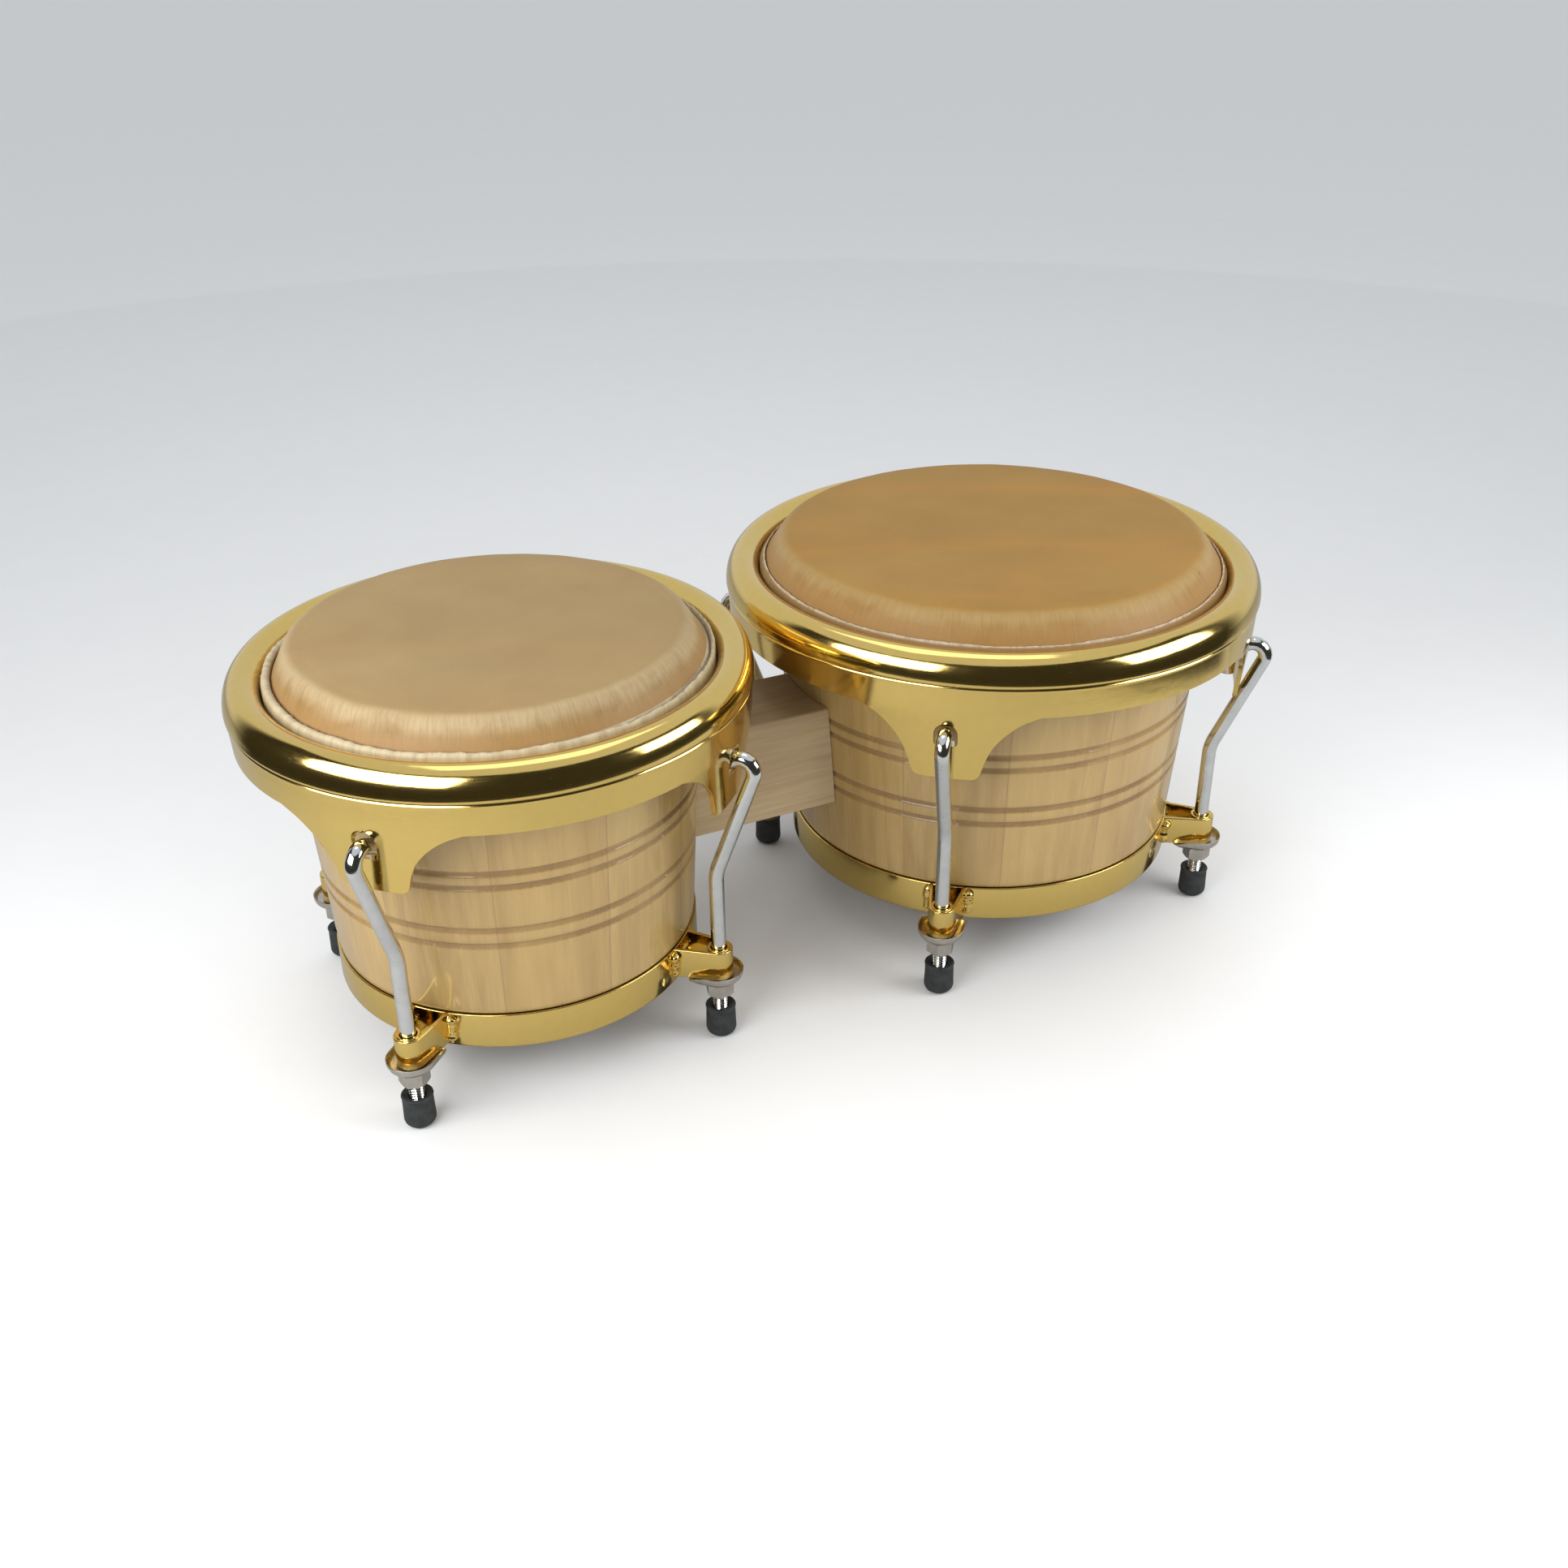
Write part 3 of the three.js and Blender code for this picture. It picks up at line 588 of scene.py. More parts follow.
def shell_profile(drum):
    """Rebated foot, tapered wall with four turned grooves, rounded bearing edge and plain inside."""
    floor = drum.ring_z + RING_T + GAP
    rebate = drum.ring_r - RING_T - GAP
    shoulder = drum.ring_top() + GAP
    profile = [(rebate - WALL, floor), (rebate - 0.4, floor), (rebate, floor + 0.4), (rebate, shoulder)]
    profile += [(drum.shell_r(shoulder) - 0.35, shoulder), (drum.shell_r(shoulder) - 0.05, shoulder + 0.4)]
    z = shoulder + 3
    for groove in GROOVES:
        while z < groove - GROOVE_HALF - 1.5:
            profile.append((drum.shell_r(z), z))
            z += 4
        profile += [(drum.shell_r(groove + rise) - depth, groove + rise) for rise, depth in GROOVE_SECTION]
        z = groove + GROOVE_HALF + 2
    while z < 165:
        profile.append((drum.shell_r(z), z))
        z += 5
    top_edge = drum.collar[0].x + 3.5
    bearing = inside(drum.collar, SKIN + GAP)
    profile += [p for p in bearing[::-1] if top_edge < p[0] < drum.shell_r(p[1]) - 0.1]
    crest_r, crest_z = profile[-1]
    profile += [(crest_r - fall, crest_z - drop) for fall, drop in ((1.2, 0.5), (2.0, 1.6), (2.4, 4))]
    top_in = Vector(profile[-1])
    foot_in = Vector((rebate - WALL, floor))
    return profile + [tuple(top_in.lerp(foot_in, k / 8)) for k in range(1, 8)]


def build_shell(drum, material):
    obj = lathe(f"{drum.name}_shell_wood", shell_profile(drum), drum.origin, AROUND * 2)
    finish_piece(obj, material, "drums", f"{drum.name}_shell")


def head_profile(drum):
    """From the middle of the playing surface out over the collar, round the hoop, and back inside."""
    a, top, tuck = drum.head_r, drum.top, drum.tuck
    edge_top, end = drum.raw_edge["top"], a + drum.raw_edge["end"]
    start, cut = a + drum.raw_edge["start"], a + drum.raw_edge["cut"]
    half = (cut - start) / 2
    foot_r, foot_z = drum.collar[-1]
    profile = [(a * share, top) for share in (0, 0.3, 0.6, 0.8)] + [tuple(p) for p in drum.collar]
    profile.append(((foot_r + start) / 2, foot_z - 1.2))
    profile += arc(start + half, edge_top - half, half, 175, 0, 9)
    profile += [(end, edge_top - 2.8), (end, 159.2), (a + 6.2, 158.4)]
    profile += arc(a + 6.6, 156.6, 2.2, 80, 0, 4)
    profile += arc(a + 6.4, tuck + 2.4, 2.4, 0, -90, 4)
    profile += [(a + 2.6, tuck), (a + 0.5, tuck + 1.4), (a + 0.1, 156), (a + 0.1, 163)]
    profile += [p for p in inside(drum.collar, SKIN)[::-1] if p[1] > 166]
    return profile + [(a * share, top - SKIN) for share in (0.8, 0.5, 0)]


def build_head(drum, material):
    """The skin, its collar a little wavy and its raw edge frayed, and thinner towards +X."""
    a, edge = drum.head_r, drum.raw_edge
    inner, outer, edge_top = edge["start"], edge["end"], edge["top"]
    bend = -4  # where the collar turns down, from the head's radius
    seam = inner - 0.6
    frayed = 6  # height over which the edge frays

    def uneven(theta, r, z):
        out = r - a
        if z > SKIN_TUCK_TOP and bend < out < outer:
            rise = min((out - bend) / (inner - bend), (outer - out) / (outer - inner))
            r += edge["thin"] * rise * (0.5 + 0.5 * math.cos(theta + 0.2))
        if edge_top - frayed < z < edge_top + 1 and out > seam:
            share = min(1, (out - seam) / 0.8) * max(0, min(1, (z - edge_top + frayed) / frayed))
            fray = wobble(theta, a, 1.1, 3.1) * 0.35 + wobble(theta, a, 0.33, 9.7) * 0.6
            z += share * edge["fray"] * (fray + wobble(theta, a, 0.06, 4.2) * 1.3)
            r += share * 0.28 * wobble(theta, a, 0.5, 17.3)
        if 3 * bend < out < seam and z > edge_top:
            z -= 0.10 + 0.10 * wobble(theta, a, 0.12, 5.5) + 0.14 * wobble(theta, a, 0.045, 8.5)
        return r, min(z, drum.top)

    obj = lathe(f"{drum.name}_rawhide_head", head_profile(drum), drum.origin, AROUND * 3, uneven)
    obj.data.materials.append(material)
    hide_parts(f"{drum.name}_head")
    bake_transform(obj)


def build_hoop(drum, material):
    section = arc(drum.head_r + HOOP_OUT, drum.tuck + SKIN + HOOP_R + 0.4, HOOP_R, 0, 330, 11)
    obj = lathe(f"{drum.name}_flesh_hoop_rod", section, drum.origin)
    finish_piece(obj, material, drum.body, f"{drum.name}_flesh_hoop")


# --- Rim ---
def ear_curve(drum):
    """Half widths and heights down one side of an ear, from the band to the flat bottom."""
    side = [(38, 1), (31, 0.9), (25.5, 0.76), (21.2, 0.6), (18.4, 0.445), (16.2, 0.243), (15.2, 0.125),
            (14.2, 0.052), (12.6, 0.35 / (BAND_Z - drum.ear_z)), (10.5, 0)]
    return smooth_curve([(half, drum.ear_z + share * (BAND_Z - drum.ear_z)) for half, share in side], 5)


def rim_columns(drum):
    """Angles round the rim with each one's lower edge; finer across the ears and slots."""
    side = ear_curve(drum)
    widths = np.array([p.x for p in side][::-1])
    heights = np.array([p.y for p in side][::-1])
    slot = [SLOT_HALF * math.cos(math.pi / 2 * k / 10) for k in range(11)]
    near = sorted({round(t, 4) for t in [*slot, 6.2, 7.6, 9.0, *widths.tolist()]})
    across = sorted({t * sign for t in near for sign in (-1, 1)})
    columns = []
    for lug in LUGS:
        middle = drum.lug_angle(lug)
        for t in across:
            low = float(np.interp(abs(t), widths, heights)) if abs(t) > widths[0] else drum.ear_z
            columns.append((middle + math.asin(t / drum.band_r()), t, low))
    half = math.asin(across[-1] / drum.band_r())
    plain = 44
    for lug in LUGS:
        start = drum.lug_angle(lug) + half
        gap = math.pi / 2 - 2 * half
        columns += [(start + gap * k / plain, None, BAND_Z) for k in range(1, plain)]
    return sorted(columns, key=lambda c: c[0] % (2 * math.pi))


def column_heights(slot_z, t, low, start, counts):
    """Heights down one column of the band, passing round the hook's slot."""
    upper, slot_rows, lower = counts
    total = sum(counts)
    even = [start + (low - start) * upper / total, start + (low - start) * (upper + slot_rows) / total]
    if t is None:
        first, second = even
    else:
        width = min(abs(t), SLOT_HALF)
        arch = slot_z[1] - SLOT_HALF + math.sqrt(SLOT_HALF ** 2 - width ** 2)
        corner = max(0, width - SLOT_HALF + SLOT_CORNER)
        foot = slot_z[0] + SLOT_CORNER - math.sqrt(max(0, SLOT_CORNER ** 2 - corner ** 2))
        share = min(1, max(0, (abs(t) - SLOT_HALF) / SLOT_REACH))
        share = share * share * (3 - 2 * share)
        first = arch + (even[0] - arch) * share
        second = foot + (even[1] - foot) * share
    heights = [start + (first - start) * k / upper for k in range(1, upper + 1)]
    heights += [first + (second - first) * k / slot_rows for k in range(1, slot_rows + 1)]
    heights += [second + (low - second) * k / lower for k in range(1, lower + 1)]
    return heights


def oval(cx, cz, half, tall, start, end, steps):
    """Points of an upright oval, its parameter in degrees."""
    angles = [math.radians(start + (end - start) * k / steps) for k in range(steps + 1)]
    return [(cx + half * math.cos(a), cz + tall * math.sin(a)) for a in angles]


def roll_sections(drum):
    """Outer face of the roll from its inner lip to the crease, and its inner face back to the lip."""
    r, centre = drum.rim_r, drum.rim_r - ROLL_HALF
    lip = centre - ROLL_HALF
    tall_in, tall_out = drum.roll_top - ROLL_IN_Z, drum.roll_top - ROLL_OUT_Z
    half = ROLL_HALF - SHEET
    outer = [(lip, LIP_Z), (lip, LIP_Z + 0.9)]
    outer += oval(centre, ROLL_IN_Z, ROLL_HALF, tall_in, 180, 90, 16)
    outer += oval(centre, ROLL_OUT_Z, ROLL_HALF, tall_out, 90, 0, 24)[1:]
    outer += [(r - 0.08, ROLL_OUT_Z - 0.5), (r - 0.3, ROLL_OUT_Z - 0.9), (r - 0.7, ROLL_OUT_Z - 1.15)]
    band = drum.band_r(CREASE_Z)
    outer += [(r - 1.15, ROLL_OUT_Z - 1.35), (r - 1.1, CREASE_Z), (band + 0.02, CREASE_Z - 0.5)]
    inner = [(band - SHEET, CREASE_Z + 0.4)]
    inner += oval(centre, ROLL_OUT_Z, half, tall_out - SHEET, 4, 90, 14)
    inner += oval(centre, ROLL_IN_Z, half, tall_in - SHEET, 90, 180, 14)[1:]
    inner += [(lip + SHEET, LIP_Z + 0.9), (lip + SHEET, LIP_Z)]
    return outer, inner


def close_slots(obj):
    """Joins the outer and inner edges of each hook slot by its walls."""
    bm = bmesh.new()
    bm.from_mesh(obj.data)
    open_edges = [e for e in bm.edges if e.is_boundary]
    groups = {}
    for edge in open_edges:
        middle = (edge.verts[0].co + edge.verts[1].co) / 2
        groups.setdefault(int(math.degrees(math.atan2(middle.y, middle.x)) // 90), []).append(edge)
    for edges in groups.values():
        bmesh.ops.bridge_loops(bm, edges=edges)
    bm.to_mesh(obj.data)
    bm.free()


def build_rim(drum, material):
    """The rolled and pressed sheet: roll, groove and band, with four slotted ears."""
    outer, inner = roll_sections(drum)
    counts = (7, 5, 8)
    columns = rim_columns(drum)
    verts = []
    for theta, t, low in columns:
        heights = column_heights(drum.slot_z, t, low, outer[-1][1], counts)
        line = outer + [(drum.band_r(z), z) for z in heights]
        line += [(drum.band_r(z) - SHEET, z) for z in heights[::-1]] + inner
        verts += [(r * math.cos(theta), r * math.sin(theta), z) for r, z in line]
    rows = len(outer) + 2 * sum(counts) + len(inner)
    down = len(outer) - 1 + counts[0]
    up = len(outer) + sum(counts) + counts[2] - 1
    slot_rows = [*range(down, down + counts[1]), *range(up, up + counts[1])]

    def keep(c, row):
        here, after = columns[c][1], columns[(c + 1) % len(columns)][1]
        slot = here is not None and after is not None and max(abs(here), abs(after)) <= SLOT_HALF + 1e-6
        return not (slot and row in slot_rows)

    faces = grid_faces(len(columns), rows, True, True, keep)
    obj = add_object(f"{drum.name}_rolled_rim", verts, faces, drum.origin)
    close_slots(obj)
    tidy(obj)
    soften(obj, 0.45, 3, 60)
    finish_piece(obj, material, drum.body, f"{drum.name}_rim")


# --- Bottom ring, straps and welds ---
def sweep_flat(path, section):
    """Loops of a closed (across, up) section along a level path of (x, y) points."""
    loops = []
    for i, point in enumerate(path):
        ahead = path[min(i + 1, len(path) - 1)] - path[max(i - 1, 0)]
        side = Vector((ahead.y, -ahead.x)).normalized()
        loops.append([(point.x + side.x * a, point.y + side.y * a, b) for a, b in section])
    return loops


def rounded_box(half, low, high, corner, steps):
    """The outline of an upright rectangle with rounded corners."""
    section = []
    for x, y, start in ((half, low, -90), (half, high, 0), (-half, high, 90), (-half, low, 180)):
        centre_y = y + corner if y == low else y - corner
        section += arc(x - math.copysign(corner, x), centre_y, corner, start, start + 90, steps)
    return section


def strap(drum):
    """The bracket's strap, bent to a U round the rod, with its nose outward."""
    root = drum.ring_r - 1
    arm = ARM_HALF - STRAP_T / 2
    nose = [Vector(p) for p in arc(drum.rod, 0, STRAP_R - STRAP_T / 2, -78, 78, 20)]
    path = [Vector((root, -arm)), Vector((root, -arm)).lerp(nose[0], 0.5), *nose]
    path += [Vector((root, arm)).lerp(nose[-1], 0.5), Vector((root, arm))]
    section = rounded_box(STRAP_T / 2, drum.ring_z + STRAP_FOOT, drum.ring_top(), 0.4, 3)
    return loft("strap", sweep_flat(path, section), sharp=50)


def bush(drum):
    """The short tube that guides the rod inside the strap's nose."""
    low, high = drum.ring_z + 2.9, drum.ring_top() + 0.35
    profile = [(3.55, low + 0.3), (3.85, low), (4.95, low), (4.95, high - 0.45)]
    profile += arc(4.55, high - 0.4, 0.4, 0, 90, 3) + arc(3.95, high - 0.4, 0.4, 90, 180, 3)
    return lathe("bush", profile, steps=40, x=drum.rod)


def weld(drum, side, seed):
    """A lumpy bead that runs up the corner between an arm and the ring."""
    low, high = drum.ring_z + 3.2, drum.ring_top() - 0.3
    rows, around = 26, 14
    loops = []
    for i in range(rows):
        share = i / (rows - 1)
        z = low + (high - low) * share
        ripple = noise.noise(Vector((seed * 7.3, z * 0.42, 1.7)))
        ends = math.sin(math.pi * min(1, share * 6) / 2) * math.sin(math.pi * min(1, (1 - share) * 6) / 2)
        size = (1.9 + 0.75 * ripple) * max(0.05, ends)
        centre_x = drum.ring_r + 0.25 + 0.3 * ripple
        centre_y = side * (ARM_HALF + 0.55 + 0.35 * noise.noise(Vector((seed, z * 0.3, 9))))
        loop = []
        for x, y, _ in circle(1, 0, around):
            lump = size * (1 + 0.22 * noise.noise(Vector((x * 1.3, y * 1.3, z * 0.55 + seed * 3))))
            loop.append((centre_x + lump * 1.05 * x, centre_y + lump * 1.35 * y, z))
        loops.append(loop)
    return loft("weld", loops, sharp=70)


def build_bottom_ring(drum, material):
    r = drum.ring_r
    low, top = drum.ring_z, drum.ring_top()
    lip = r - RING_FLANGE
    profile = [(lip, low + RING_T - 0.3), (lip, low + 0.3), (lip + 0.3, low)]
    profile += arc(r - 1.6, low + 1.6, 1.6, -90, 0, 6)
    profile += arc(r - 0.45, top - 0.45, 0.45, 0, 90, 4)
    profile += [(r - RING_T + 0.3, top), (r - RING_T, top - 0.3), (r - RING_T, low + RING_T + 0.5)]
    profile += [(r - RING_T - 0.5, low + RING_T), (lip + 0.3, low + RING_T)]
    parts = [lathe("ring", profile)]
    for i, lug in enumerate(LUGS):
        angle = drum.lug_angle(lug)
        pieces = [strap(drum), bush(drum)]
        pieces += [weld(drum, side, i * 2.7 + side + drum.ring_r) for side in (-1, 1)]
        parts += [turn_about_axis(piece, angle) for piece in pieces]
    obj = join(f"{drum.name}_ring_and_brackets", parts)
    obj.location = drum.origin
    tidy(obj, 50)
    finish_piece(obj, material, "drums", f"{drum.name}_bottom_ring")


# --- Lug hardware ---
def build_hook(drum, lug, material):
    """A J-hook bent from one rod: threaded end, long shank leaning outward, and the bend in the ear."""
    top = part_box(f"{drum.name}_hook_{lug}")[1].z / MM + HOOK_CORNER
    outer, inner = drum.rim_r + HOOK_OUT, drum.rim_r - HOOK_IN
    corners = [(drum.rod, 34), (drum.rod, 82, 22), (outer, top, 5.6), (inner, top - HOOK_DROP, 4.4),
               (inner, top - HOOK_DROP - HOOK_LEG)]
    path = rounded(corners, 12)
    around = 28
    loops = []

    def add_loop(point, ahead, inset=0, thread=0):
        """Points round the rod, cut in by a share of the thread's depth."""
        loop = []
        for k in range(around):
            phi = 2 * math.pi * k / around
            turn = (point.y / THREAD_PITCH - k / around) % 1
            radius = ROD_R - inset - thread * THREAD_DEPTH * (1 - abs(2 * turn - 1)) ** 0.9
            across = radius * math.cos(phi)
            loop.append((point.x + ahead.y * across, radius * math.sin(phi), point.y - ahead.x * across))
        loops.append(loop)

    rows_per_turn = 10
    count = int((THREAD_TOP - THREAD_LOW) / THREAD_PITCH * rows_per_turn)
    for i in range(count + 1):
        z = THREAD_LOW + (THREAD_TOP - THREAD_LOW) * i / count
        fade = min(1, (z - THREAD_LOW) / 1.2, (THREAD_TOP - z) / 3)
        add_loop(Vector((drum.rod, z)), Vector((0, 1)), thread=fade)
    for i, point in enumerate(path):
        ahead = path[min(i + 1, len(path) - 1)] - path[max(i - 1, 0)]
        add_loop(point, ahead.normalized())
    down = Vector((0, -1))
    for inset, drop in ((0.25, 0.35), (1.0, 0.55)):
        add_loop(path[-1] + down * drop, down, inset)
    obj = loft(f"{drum.name}_chrome_hook_{lug}", loops, drum.origin, 45)
    turn_about_axis(obj, drum.lug_angle(lug))
    finish_piece(obj, material, drum.body, f"{drum.name}_hook_{lug}")


def plate_outline(drum, inset, count):
    """The underplate's D from above, as points at even turns round the rod."""
    nose, reach = PLATE_NOSE - inset, PLATE_REACH - inset
    points = []
    for x, y, _ in circle(1, 0, count):
        radius = nose
        if x < 0:
            flat = nose / abs(y) if abs(y) > 1e-6 else 1e9
            back = reach / abs(x)
            radius = min(flat, back)
            near = 2 * PLATE_CORNER - abs(flat - back)
            if near > 0 and radius > nose:
                radius -= near ** 2 / (8 * PLATE_CORNER)
        points.append((drum.rod + radius * x, radius * y))
    return points


def build_underplate(drum, lug, material):
    """A stamped cup with a thin turned-up lip, and a drawn boss that sits on the nut."""
    floor = drum.ring_z + STRAP_FOOT - GAP
    count = 64
    seed = drum.lug_angle(lug) * 3 + drum.ring_r

    def ring(radius, drop):
        return circle(radius, floor - drop, count, drum.rod)

    def lip(inset, rise):
        loop = []
        for x, y in plate_outline(drum, inset, count):
            back = max(0, min(1, (drum.rod - x - 3) / 8))
            height = rise * (1 - 0.75 * back) if rise > 0 else rise
            rough = 0.14 * noise.noise(Vector((x * 0.6, y * 0.6, seed))) if rise > 1.5 else 0
            loop.append((x, y, floor + height + rough))
        return loop

    loops = [ring(3.9, 0), lip(2.0, 0), lip(1.35, 0.5), lip(0.85, 1.6), lip(0.55, 2.9), lip(0.25, 3.2),
             lip(0.0, 3.05), lip(0.15, 1.4), lip(0.7, 0.0), lip(1.5, -1.0), lip(2.4, -1.4), ring(8.2, 1.5),
             ring(7.9, 1.8), ring(7.0, 2.3), ring(6.7, 2.6), ring(3.9, 2.6)]
    obj = loft(f"{drum.name}_stamped_underplate_{lug}", loops, drum.origin, 50, closed=True)
    turn_about_axis(obj, drum.lug_angle(lug))
    finish_piece(obj, material, "drums", f"{drum.name}_underplate_{lug}")


def hex_loops(across, low, high, face_share):
    """A hexagon's chamfered upper and lower corners, as loops round the Z axis."""
    angles = [2 * math.pi * k / HEX_STEPS for k in range(HEX_STEPS)]
    sides = [across / 2 / math.cos((a % (math.pi / 3)) - math.pi / 6) for a in angles]
    face = across / 2 * face_share

    def corners(height, turn):
        return [(r * math.cos(a), r * math.sin(a), height + turn * (r - face) * HEX_SLOPE)
                for r, a in zip(sides, angles)]

    return [circle(face, high, HEX_STEPS), corners(high, -1), corners(low, 1), circle(face, low, HEX_STEPS)]


def build_nut(drum, lug, material):
    node = f"{drum.name}_nut_{lug}"
    low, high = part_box(node)
    half = (high.z - low.z) / 2 / MM
    loops = hex_loops(NUT_ACROSS, -half, half, 0.985)
    bore = [(0.5, -half), (0, -half + 0.5), (0, half - 0.5), (0.5, half)]
    loops += [circle(NUT_BORE + wider, height, HEX_STEPS) for wider, height in bore]
    obj = loft(f"{drum.name}_hex_nut_{lug}", loops, (low + high) / 2, 24, closed=True)
    turn_about_axis(obj, drum.lug_angle(lug))
    finish_piece(obj, material, f"{node}_body", node)


def build_tip(drum, lug, material):
    """A moulded cap pushed over the rod's end; it is the foot."""
    node = f"{drum.name}_tip_{lug}"
    low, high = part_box(node)
    middle = (low + high) / 2
    r = (high.x - low.x) / 2 / MM
    tall = high.z / MM
    profile = [(0, 0), (2.4, 0), *arc(r - 3.4, 3.4, 3.4, -80, 0, 8), (r - 0.1, 6.5), (r - 0.25, tall - 2.4)]
    profile += [*arc(r - 0.62, tall - 0.75, 0.62, -50, 150, 8), (r - 1.35, tall - 0.55), (4.0, tall - 0.9)]
    profile += [(3.45, tall - 1.5), (3.4, 3.4), (0, 3.4)]
    obj = lathe(f"{drum.name}_rubber_tip_{lug}", profile, (middle.x, middle.y, 0), 56)
    finish_piece(obj, material, drum.body, node)


def build_block_bolt(drum, side, level, material):
    """A hexagon-headed bolt and its washer, inside the shell."""
    bolt_node = f"{drum.name}_block_bolt_{level}"
    washer_node = f"{drum.name}_block_washer_{level}"
    low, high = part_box(bolt_node)
    z = (low.z + high.z) / 2
    start, end = ((low.x, high.x) if side > 0 else (high.x, low.x))
    length = abs(end - start) / MM
    loops = hex_loops(BOLT_ACROSS, 0, BOLT_HEAD, 0.97)[::-1]
    shank = [(BOLT_R, BOLT_HEAD), (BOLT_R, length - 0.8), (2.3, length)]
    loops += [circle(radius, height, HEX_STEPS) for radius, height in shank]
    bolt = loft(f"{drum.name}_bolt_{level}", loops, (start, 0, z), 24)
    bolt.data.transform(Matrix.Rotation(side * math.pi / 2, 4, "Y"))
    finish_piece(bolt, material, "drums", bolt_node)
    low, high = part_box(washer_node)
    thick = (high.x - low.x) / MM
    profile = [(3.4, 0.2), (3.6, 0), (WASHER_R - 0.3, 0), (WASHER_R, 0.3), (WASHER_R, thick - 0.3),
               (WASHER_R - 0.3, thick), (3.6, thick), (3.4, thick - 0.2)]
    washer = lathe(f"{drum.name}_washer_{level}", profile, (low.x, 0, z), 64)
    washer.data.transform(Matrix.Rotation(math.pi / 2, 4, "Y"))
    finish_piece(washer, material, "drums", washer_node)


# --- Centre block ---
def build_block(small, large, material):
    """The block, its edges eased and its ends hollowed to fit the two tapered shells."""
    low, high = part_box("centre_block")
    bottom, top = low.z / MM, high.z / MM
    middle_z = (bottom + top) / 2
    outline = rounded_box(high.y / MM, bottom, top, BLOCK_EASE, 4)
    dense = []
    for p, q in zip(outline, outline[1:] + outline[:1]):
        steps = max(1, int(math.dist(p, q) / 3))
        dense += [tuple(Vector(p).lerp(Vector(q), k / steps)) for k in range(steps)]
    small_x, large_x = small.origin.x / MM, large.origin.x / MM

    def ends(y, z):
        left = small_x + math.sqrt((small.shell_r(z) + GAP) ** 2 - y * y)
        right = large_x - math.sqrt((large.shell_r(z) + GAP) ** 2 - y * y)
        return left, right

    def shrunk(share):
        return [(y * share, middle_z + (z - middle_z) * share) for y, z in dense]

    loops = [[(ends(y, z)[0], y, z) for y, z in shrunk(k / 10)] for k in range(11)]
    for k in range(1, 24):
        loops.append([(ends(y, z)[0] + (ends(y, z)[1] - ends(y, z)[0]) * k / 24, y, z) for y, z in dense])
    loops += [[(ends(y, z)[1], y, z) for y, z in shrunk(k / 10)] for k in range(10, -1, -1)]
    obj = loft("joining_block", loops, sharp=50, capped=False)
    finish_piece(obj, material, "drums", "centre_block")


# --- Studio ---
# Sectors of the painted reflections: sheets that only reflections see.
DARK_SECTOR = (-222, -5)  # azimuths of the dark front of the room
DARK_BLUR = 14
GREY_SECTOR = (-12, 145)


def flat_material(name, color, roughness):
    g = Graph(name)
    speckle = g.noise(g.place(), 40, 2.0)
    dim = tuple(c * 0.97 for c in color)
    return g.set(color=g.mix(speckle, color, dim), roughness=roughness, specular=0.3)


def fading_dark(name, color, start, end, blur):
    """A dark that fades out over the last degrees at both ends of a sector of azimuths."""
    g = Graph(name)
    place = g.place()
    x, y, _ = g.xyz(place)
    middle = math.radians((start + end) / 2)
    half = (end - start) / 2
    toward = g.plus(g.times(x, math.cos(middle)), g.times(y, math.sin(middle)))
    toward = g.math("DIVIDE", toward, g.radius(place))
    there = g.step(toward, math.cos(math.radians(half)), math.cos(math.radians(half - blur)))
    return g.set(color=(*color, 1.0), roughness=0.9, specular=0.3, alpha=there)


def build_floor():
    far = 9000.0
    corners = [(-far, -far, 0), (far, -far, 0), (far, far, 0), (-far, far, 0)]
    floor = add_object("studio_floor", corners, [(0, 1, 2, 3)])
    floor.data.materials.append(flat_material("pale_floor", (0.86, 0.86, 0.855), 0.75))


def reflector(name, rings, start, end, columns, material):
    """A sheet through oval rings of (across, deep, height), over a sector of azimuths in degrees.

    It is seen in reflections, and otherwise neither lights nor shades the object.
    """
    verts = []
    for across, deep, height in rings:
        for j in range(columns + 1):
            azimuth = math.radians(start + (end - start) * j / columns)
            verts.append((across * math.cos(azimuth), deep * math.sin(azimuth), height))
    sheet = add_object(name, verts, grid_faces(len(rings), columns + 1))
    sheet.data.materials.append(material)
    sheet.visible_camera = False
    sheet.visible_diffuse = False
    sheet.visible_shadow = False
    sheet.visible_transmission = False


def dome_rings(radius, low, high, rows):
    """Rings of a sphere round the drums, between two elevations in degrees."""
    rings = []
    for i in range(rows + 1):
        elevation = math.radians(low + (high - low) * i / rows)
        across = radius * math.cos(elevation)
        rings.append((across, across, 150 + radius * math.sin(elevation)))
    return rings


def softbox(name, azimuth, elevation, distance, width, height, power):
    """A soft rectangular light that faces the drums."""
    data = bpy.data.lights.new(name, "AREA")
    data.shape = "RECTANGLE"
    data.size = width
    data.size_y = height
    data.energy = power
    light = bpy.data.objects.new(name, data)
    a, e = math.radians(azimuth), math.radians(elevation)
    aim = Vector((0, 0, 0.15))
    away = Vector((math.cos(a) * math.cos(e), math.sin(a) * math.cos(e), math.sin(e)))
    light.location = aim + away * distance
    light.rotation_euler = away.to_track_quat("Z", "Y").to_euler()
    light.visible_camera = False
    bpy.context.scene.collection.objects.link(light)


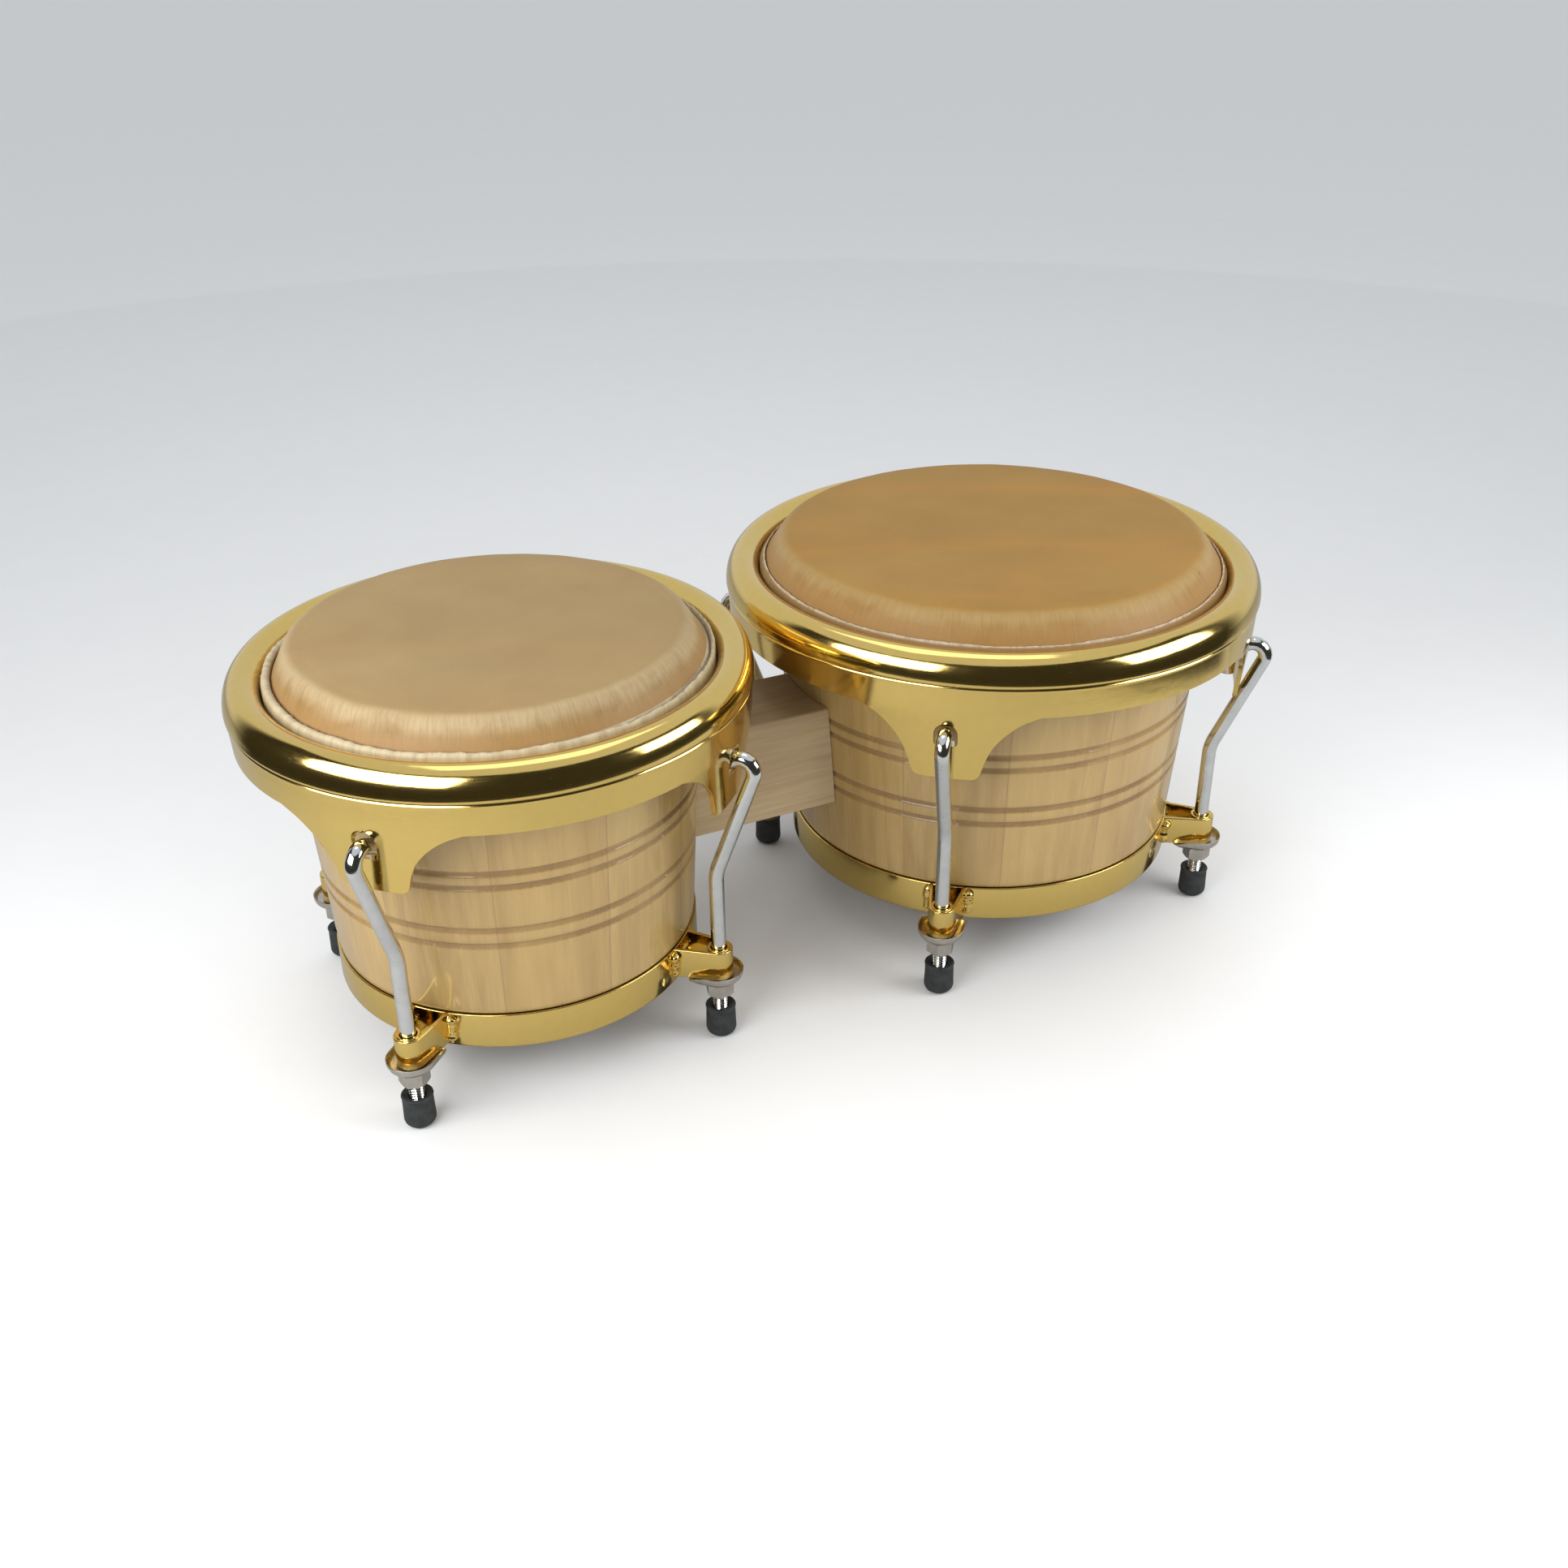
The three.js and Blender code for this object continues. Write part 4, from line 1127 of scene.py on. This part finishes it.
def build_studio():
    world = bpy.data.worlds.new("studio")
    bpy.context.scene.world = world
    world.use_nodes = True
    background = world.node_tree.nodes["Background"]
    background.inputs["Color"].default_value = (0.93, 0.96, 1.0, 1)
    background.inputs["Strength"].default_value = 0.70
    build_floor()
    # Painted reflections: dark sheets and grey cards, seen only in reflections, stand in for a dark room in
    # front of the drums and a dimmer floor round them.
    dark = fading_dark("dark_room_reflection", (0.028, 0.026, 0.017), *DARK_SECTOR, DARK_BLUR)
    reflector("dark_front", dome_rings(640, -13, 40, 12), *DARK_SECTOR, 36, dark)
    grey = flat_material("grey_card", (0.47, 0.47, 0.46), 0.9)
    near, far = (470, 405), (1500, 1500)
    reflector("dark_ground", [(*near, 0.6), (*far, 0.6)], *DARK_SECTOR, 72, dark)
    reflector("grey_ground", [(1, 1, 0.4), (*near, 0.4)], 0, 360, 72, grey)
    reflector("grey_back_ground", [(*near, 0.4), (*far, 0.4)], *GREY_SECTOR, 72, grey)
    softbox("softbox_left", -158, 22, 0.58, 0.52, 0.26, 2.5)
    softbox("softbox_right", -42, 19, 0.60, 0.36, 0.24, 1.6)
    softbox("softbox_top", 70, 78, 1.3, 0.9, 0.9, 3.0)
    bpy.context.scene.view_settings.view_transform = "Standard"


def build_camera():
    """The photographed view: from the front left, looking down on the heads."""
    data = bpy.data.cameras.new("camera")
    data.sensor_width = 36
    data.lens = 38.13
    camera = bpy.data.objects.new("camera", data)
    camera.location = (-0.2852, -0.6075, 0.4518)
    camera.rotation_euler = [math.radians(a) for a in (60.712, 0.569, -25.831)]
    bpy.context.scene.collection.objects.link(camera)
    bpy.context.scene.camera = camera


# --- The object ---
# The crease colour of each head is a painted highlight along the bend of the skin.
SMALL_TINT = {
    "top_dark": (0.315, 0.207, 0.084), "top_light": (0.372, 0.255, 0.110), "warm": (0.400, 0.250, 0.094),
    "streaks": 0.35, "pore": (0.255, 0.16, 0.066), "collar_light": (0.41, 0.285, 0.130),
    "collar_warm": (0.30, 0.170, 0.054), "collar_dark": (0.16, 0.095, 0.035),
    "collar_low": (0.33, 0.185, 0.065), "crease": (0.50, 0.40, 0.24), "flap": (0.40, 0.28, 0.15),
    "edge": (0.52, 0.44, 0.29), "nick": (0.33, 0.24, 0.13),
}
LARGE_TINT = {
    "top_dark": (0.320, 0.175, 0.036), "top_light": (0.378, 0.215, 0.048), "warm": (0.420, 0.205, 0.036),
    "streaks": 0.75, "pore": (0.225, 0.12, 0.036), "collar_light": (0.40, 0.255, 0.098),
    "collar_warm": (0.33, 0.18, 0.048), "collar_dark": (0.19, 0.105, 0.034),
    "collar_low": (0.31, 0.165, 0.050), "crease": (0.40, 0.285, 0.12), "flap": (0.31, 0.195, 0.085),
    "edge": (0.54, 0.45, 0.33), "nick": (0.26, 0.15, 0.065),
}

# Each head's collar: how far out of the shell's top radius, and how far down from the top.
SMALL_COLLAR = [(-13, 0), (-9, 0.1), (-6.4, 0.5), (-4.6, 1.5), (-3.4, 3.2), (-1.8, 6.4), (0, 10),
                (1.5, 12.9)]
LARGE_COLLAR = [(-16, 0), (-11, 0.15), (-7.6, 0.6), (-5, 1.7), (-2.8, 3.7), (-0.8, 6.5), (1.4, 9.9),
                (3.0, 12.4)]
# Each skin's raw edge: how far out it starts, is cut and ends, how high it stands, how deep its pale
# cut reaches, how much it frays, and how much thinner it gets towards +X.
SMALL_EDGE = {"start": 1.8, "cut": 5.4, "end": 5.7, "top": 170.3, "depth": 7.5, "fray": 0.7, "thin": 1.9}
LARGE_EDGE = {"start": 3.2, "cut": 3.9, "end": 5.8, "top": 169.8, "depth": 1.0, "fray": 0.45, "thin": 0.3}

small = Drum("small", 11, 0.38, (131.4, 144.3), SMALL_COLLAR, SMALL_EDGE, SMALL_TINT)
large = Drum("large", 13, 0.15, (130.4, 140.8), LARGE_COLLAR, LARGE_EDGE, LARGE_TINT)

gold_plating = gold()
chrome = plated("chrome", (0.80, 0.81, 0.81), (0.70, 0.71, 0.71), 0.07, 0.16, 0.00001)
nickel = plated("nickel", (0.66, 0.62, 0.56), (0.54, 0.50, 0.45), 0.22, 0.38, 0.00005)
steel = plated("zinc_steel", (0.56, 0.56, 0.55), (0.44, 0.44, 0.43), 0.32, 0.5, 0.00005)
black_rubber = rubber()

build_camera()
for drum, inward in ((small, 1), (large, -1)):
    build_shell(drum, shell_wood(drum))
    build_head(drum, rawhide(drum))
    build_hoop(drum, steel)
    build_rim(drum, gold_plating)
    build_bottom_ring(drum, gold_plating)
    for lug in LUGS:
        build_hook(drum, lug, chrome)
        build_underplate(drum, lug, nickel)
        build_nut(drum, lug, nickel)
        build_tip(drum, lug, black_rubber)
    for level in ("lower", "upper"):
        build_block_bolt(drum, inward, level, steel)
build_block(small, large, block_wood())
build_studio()
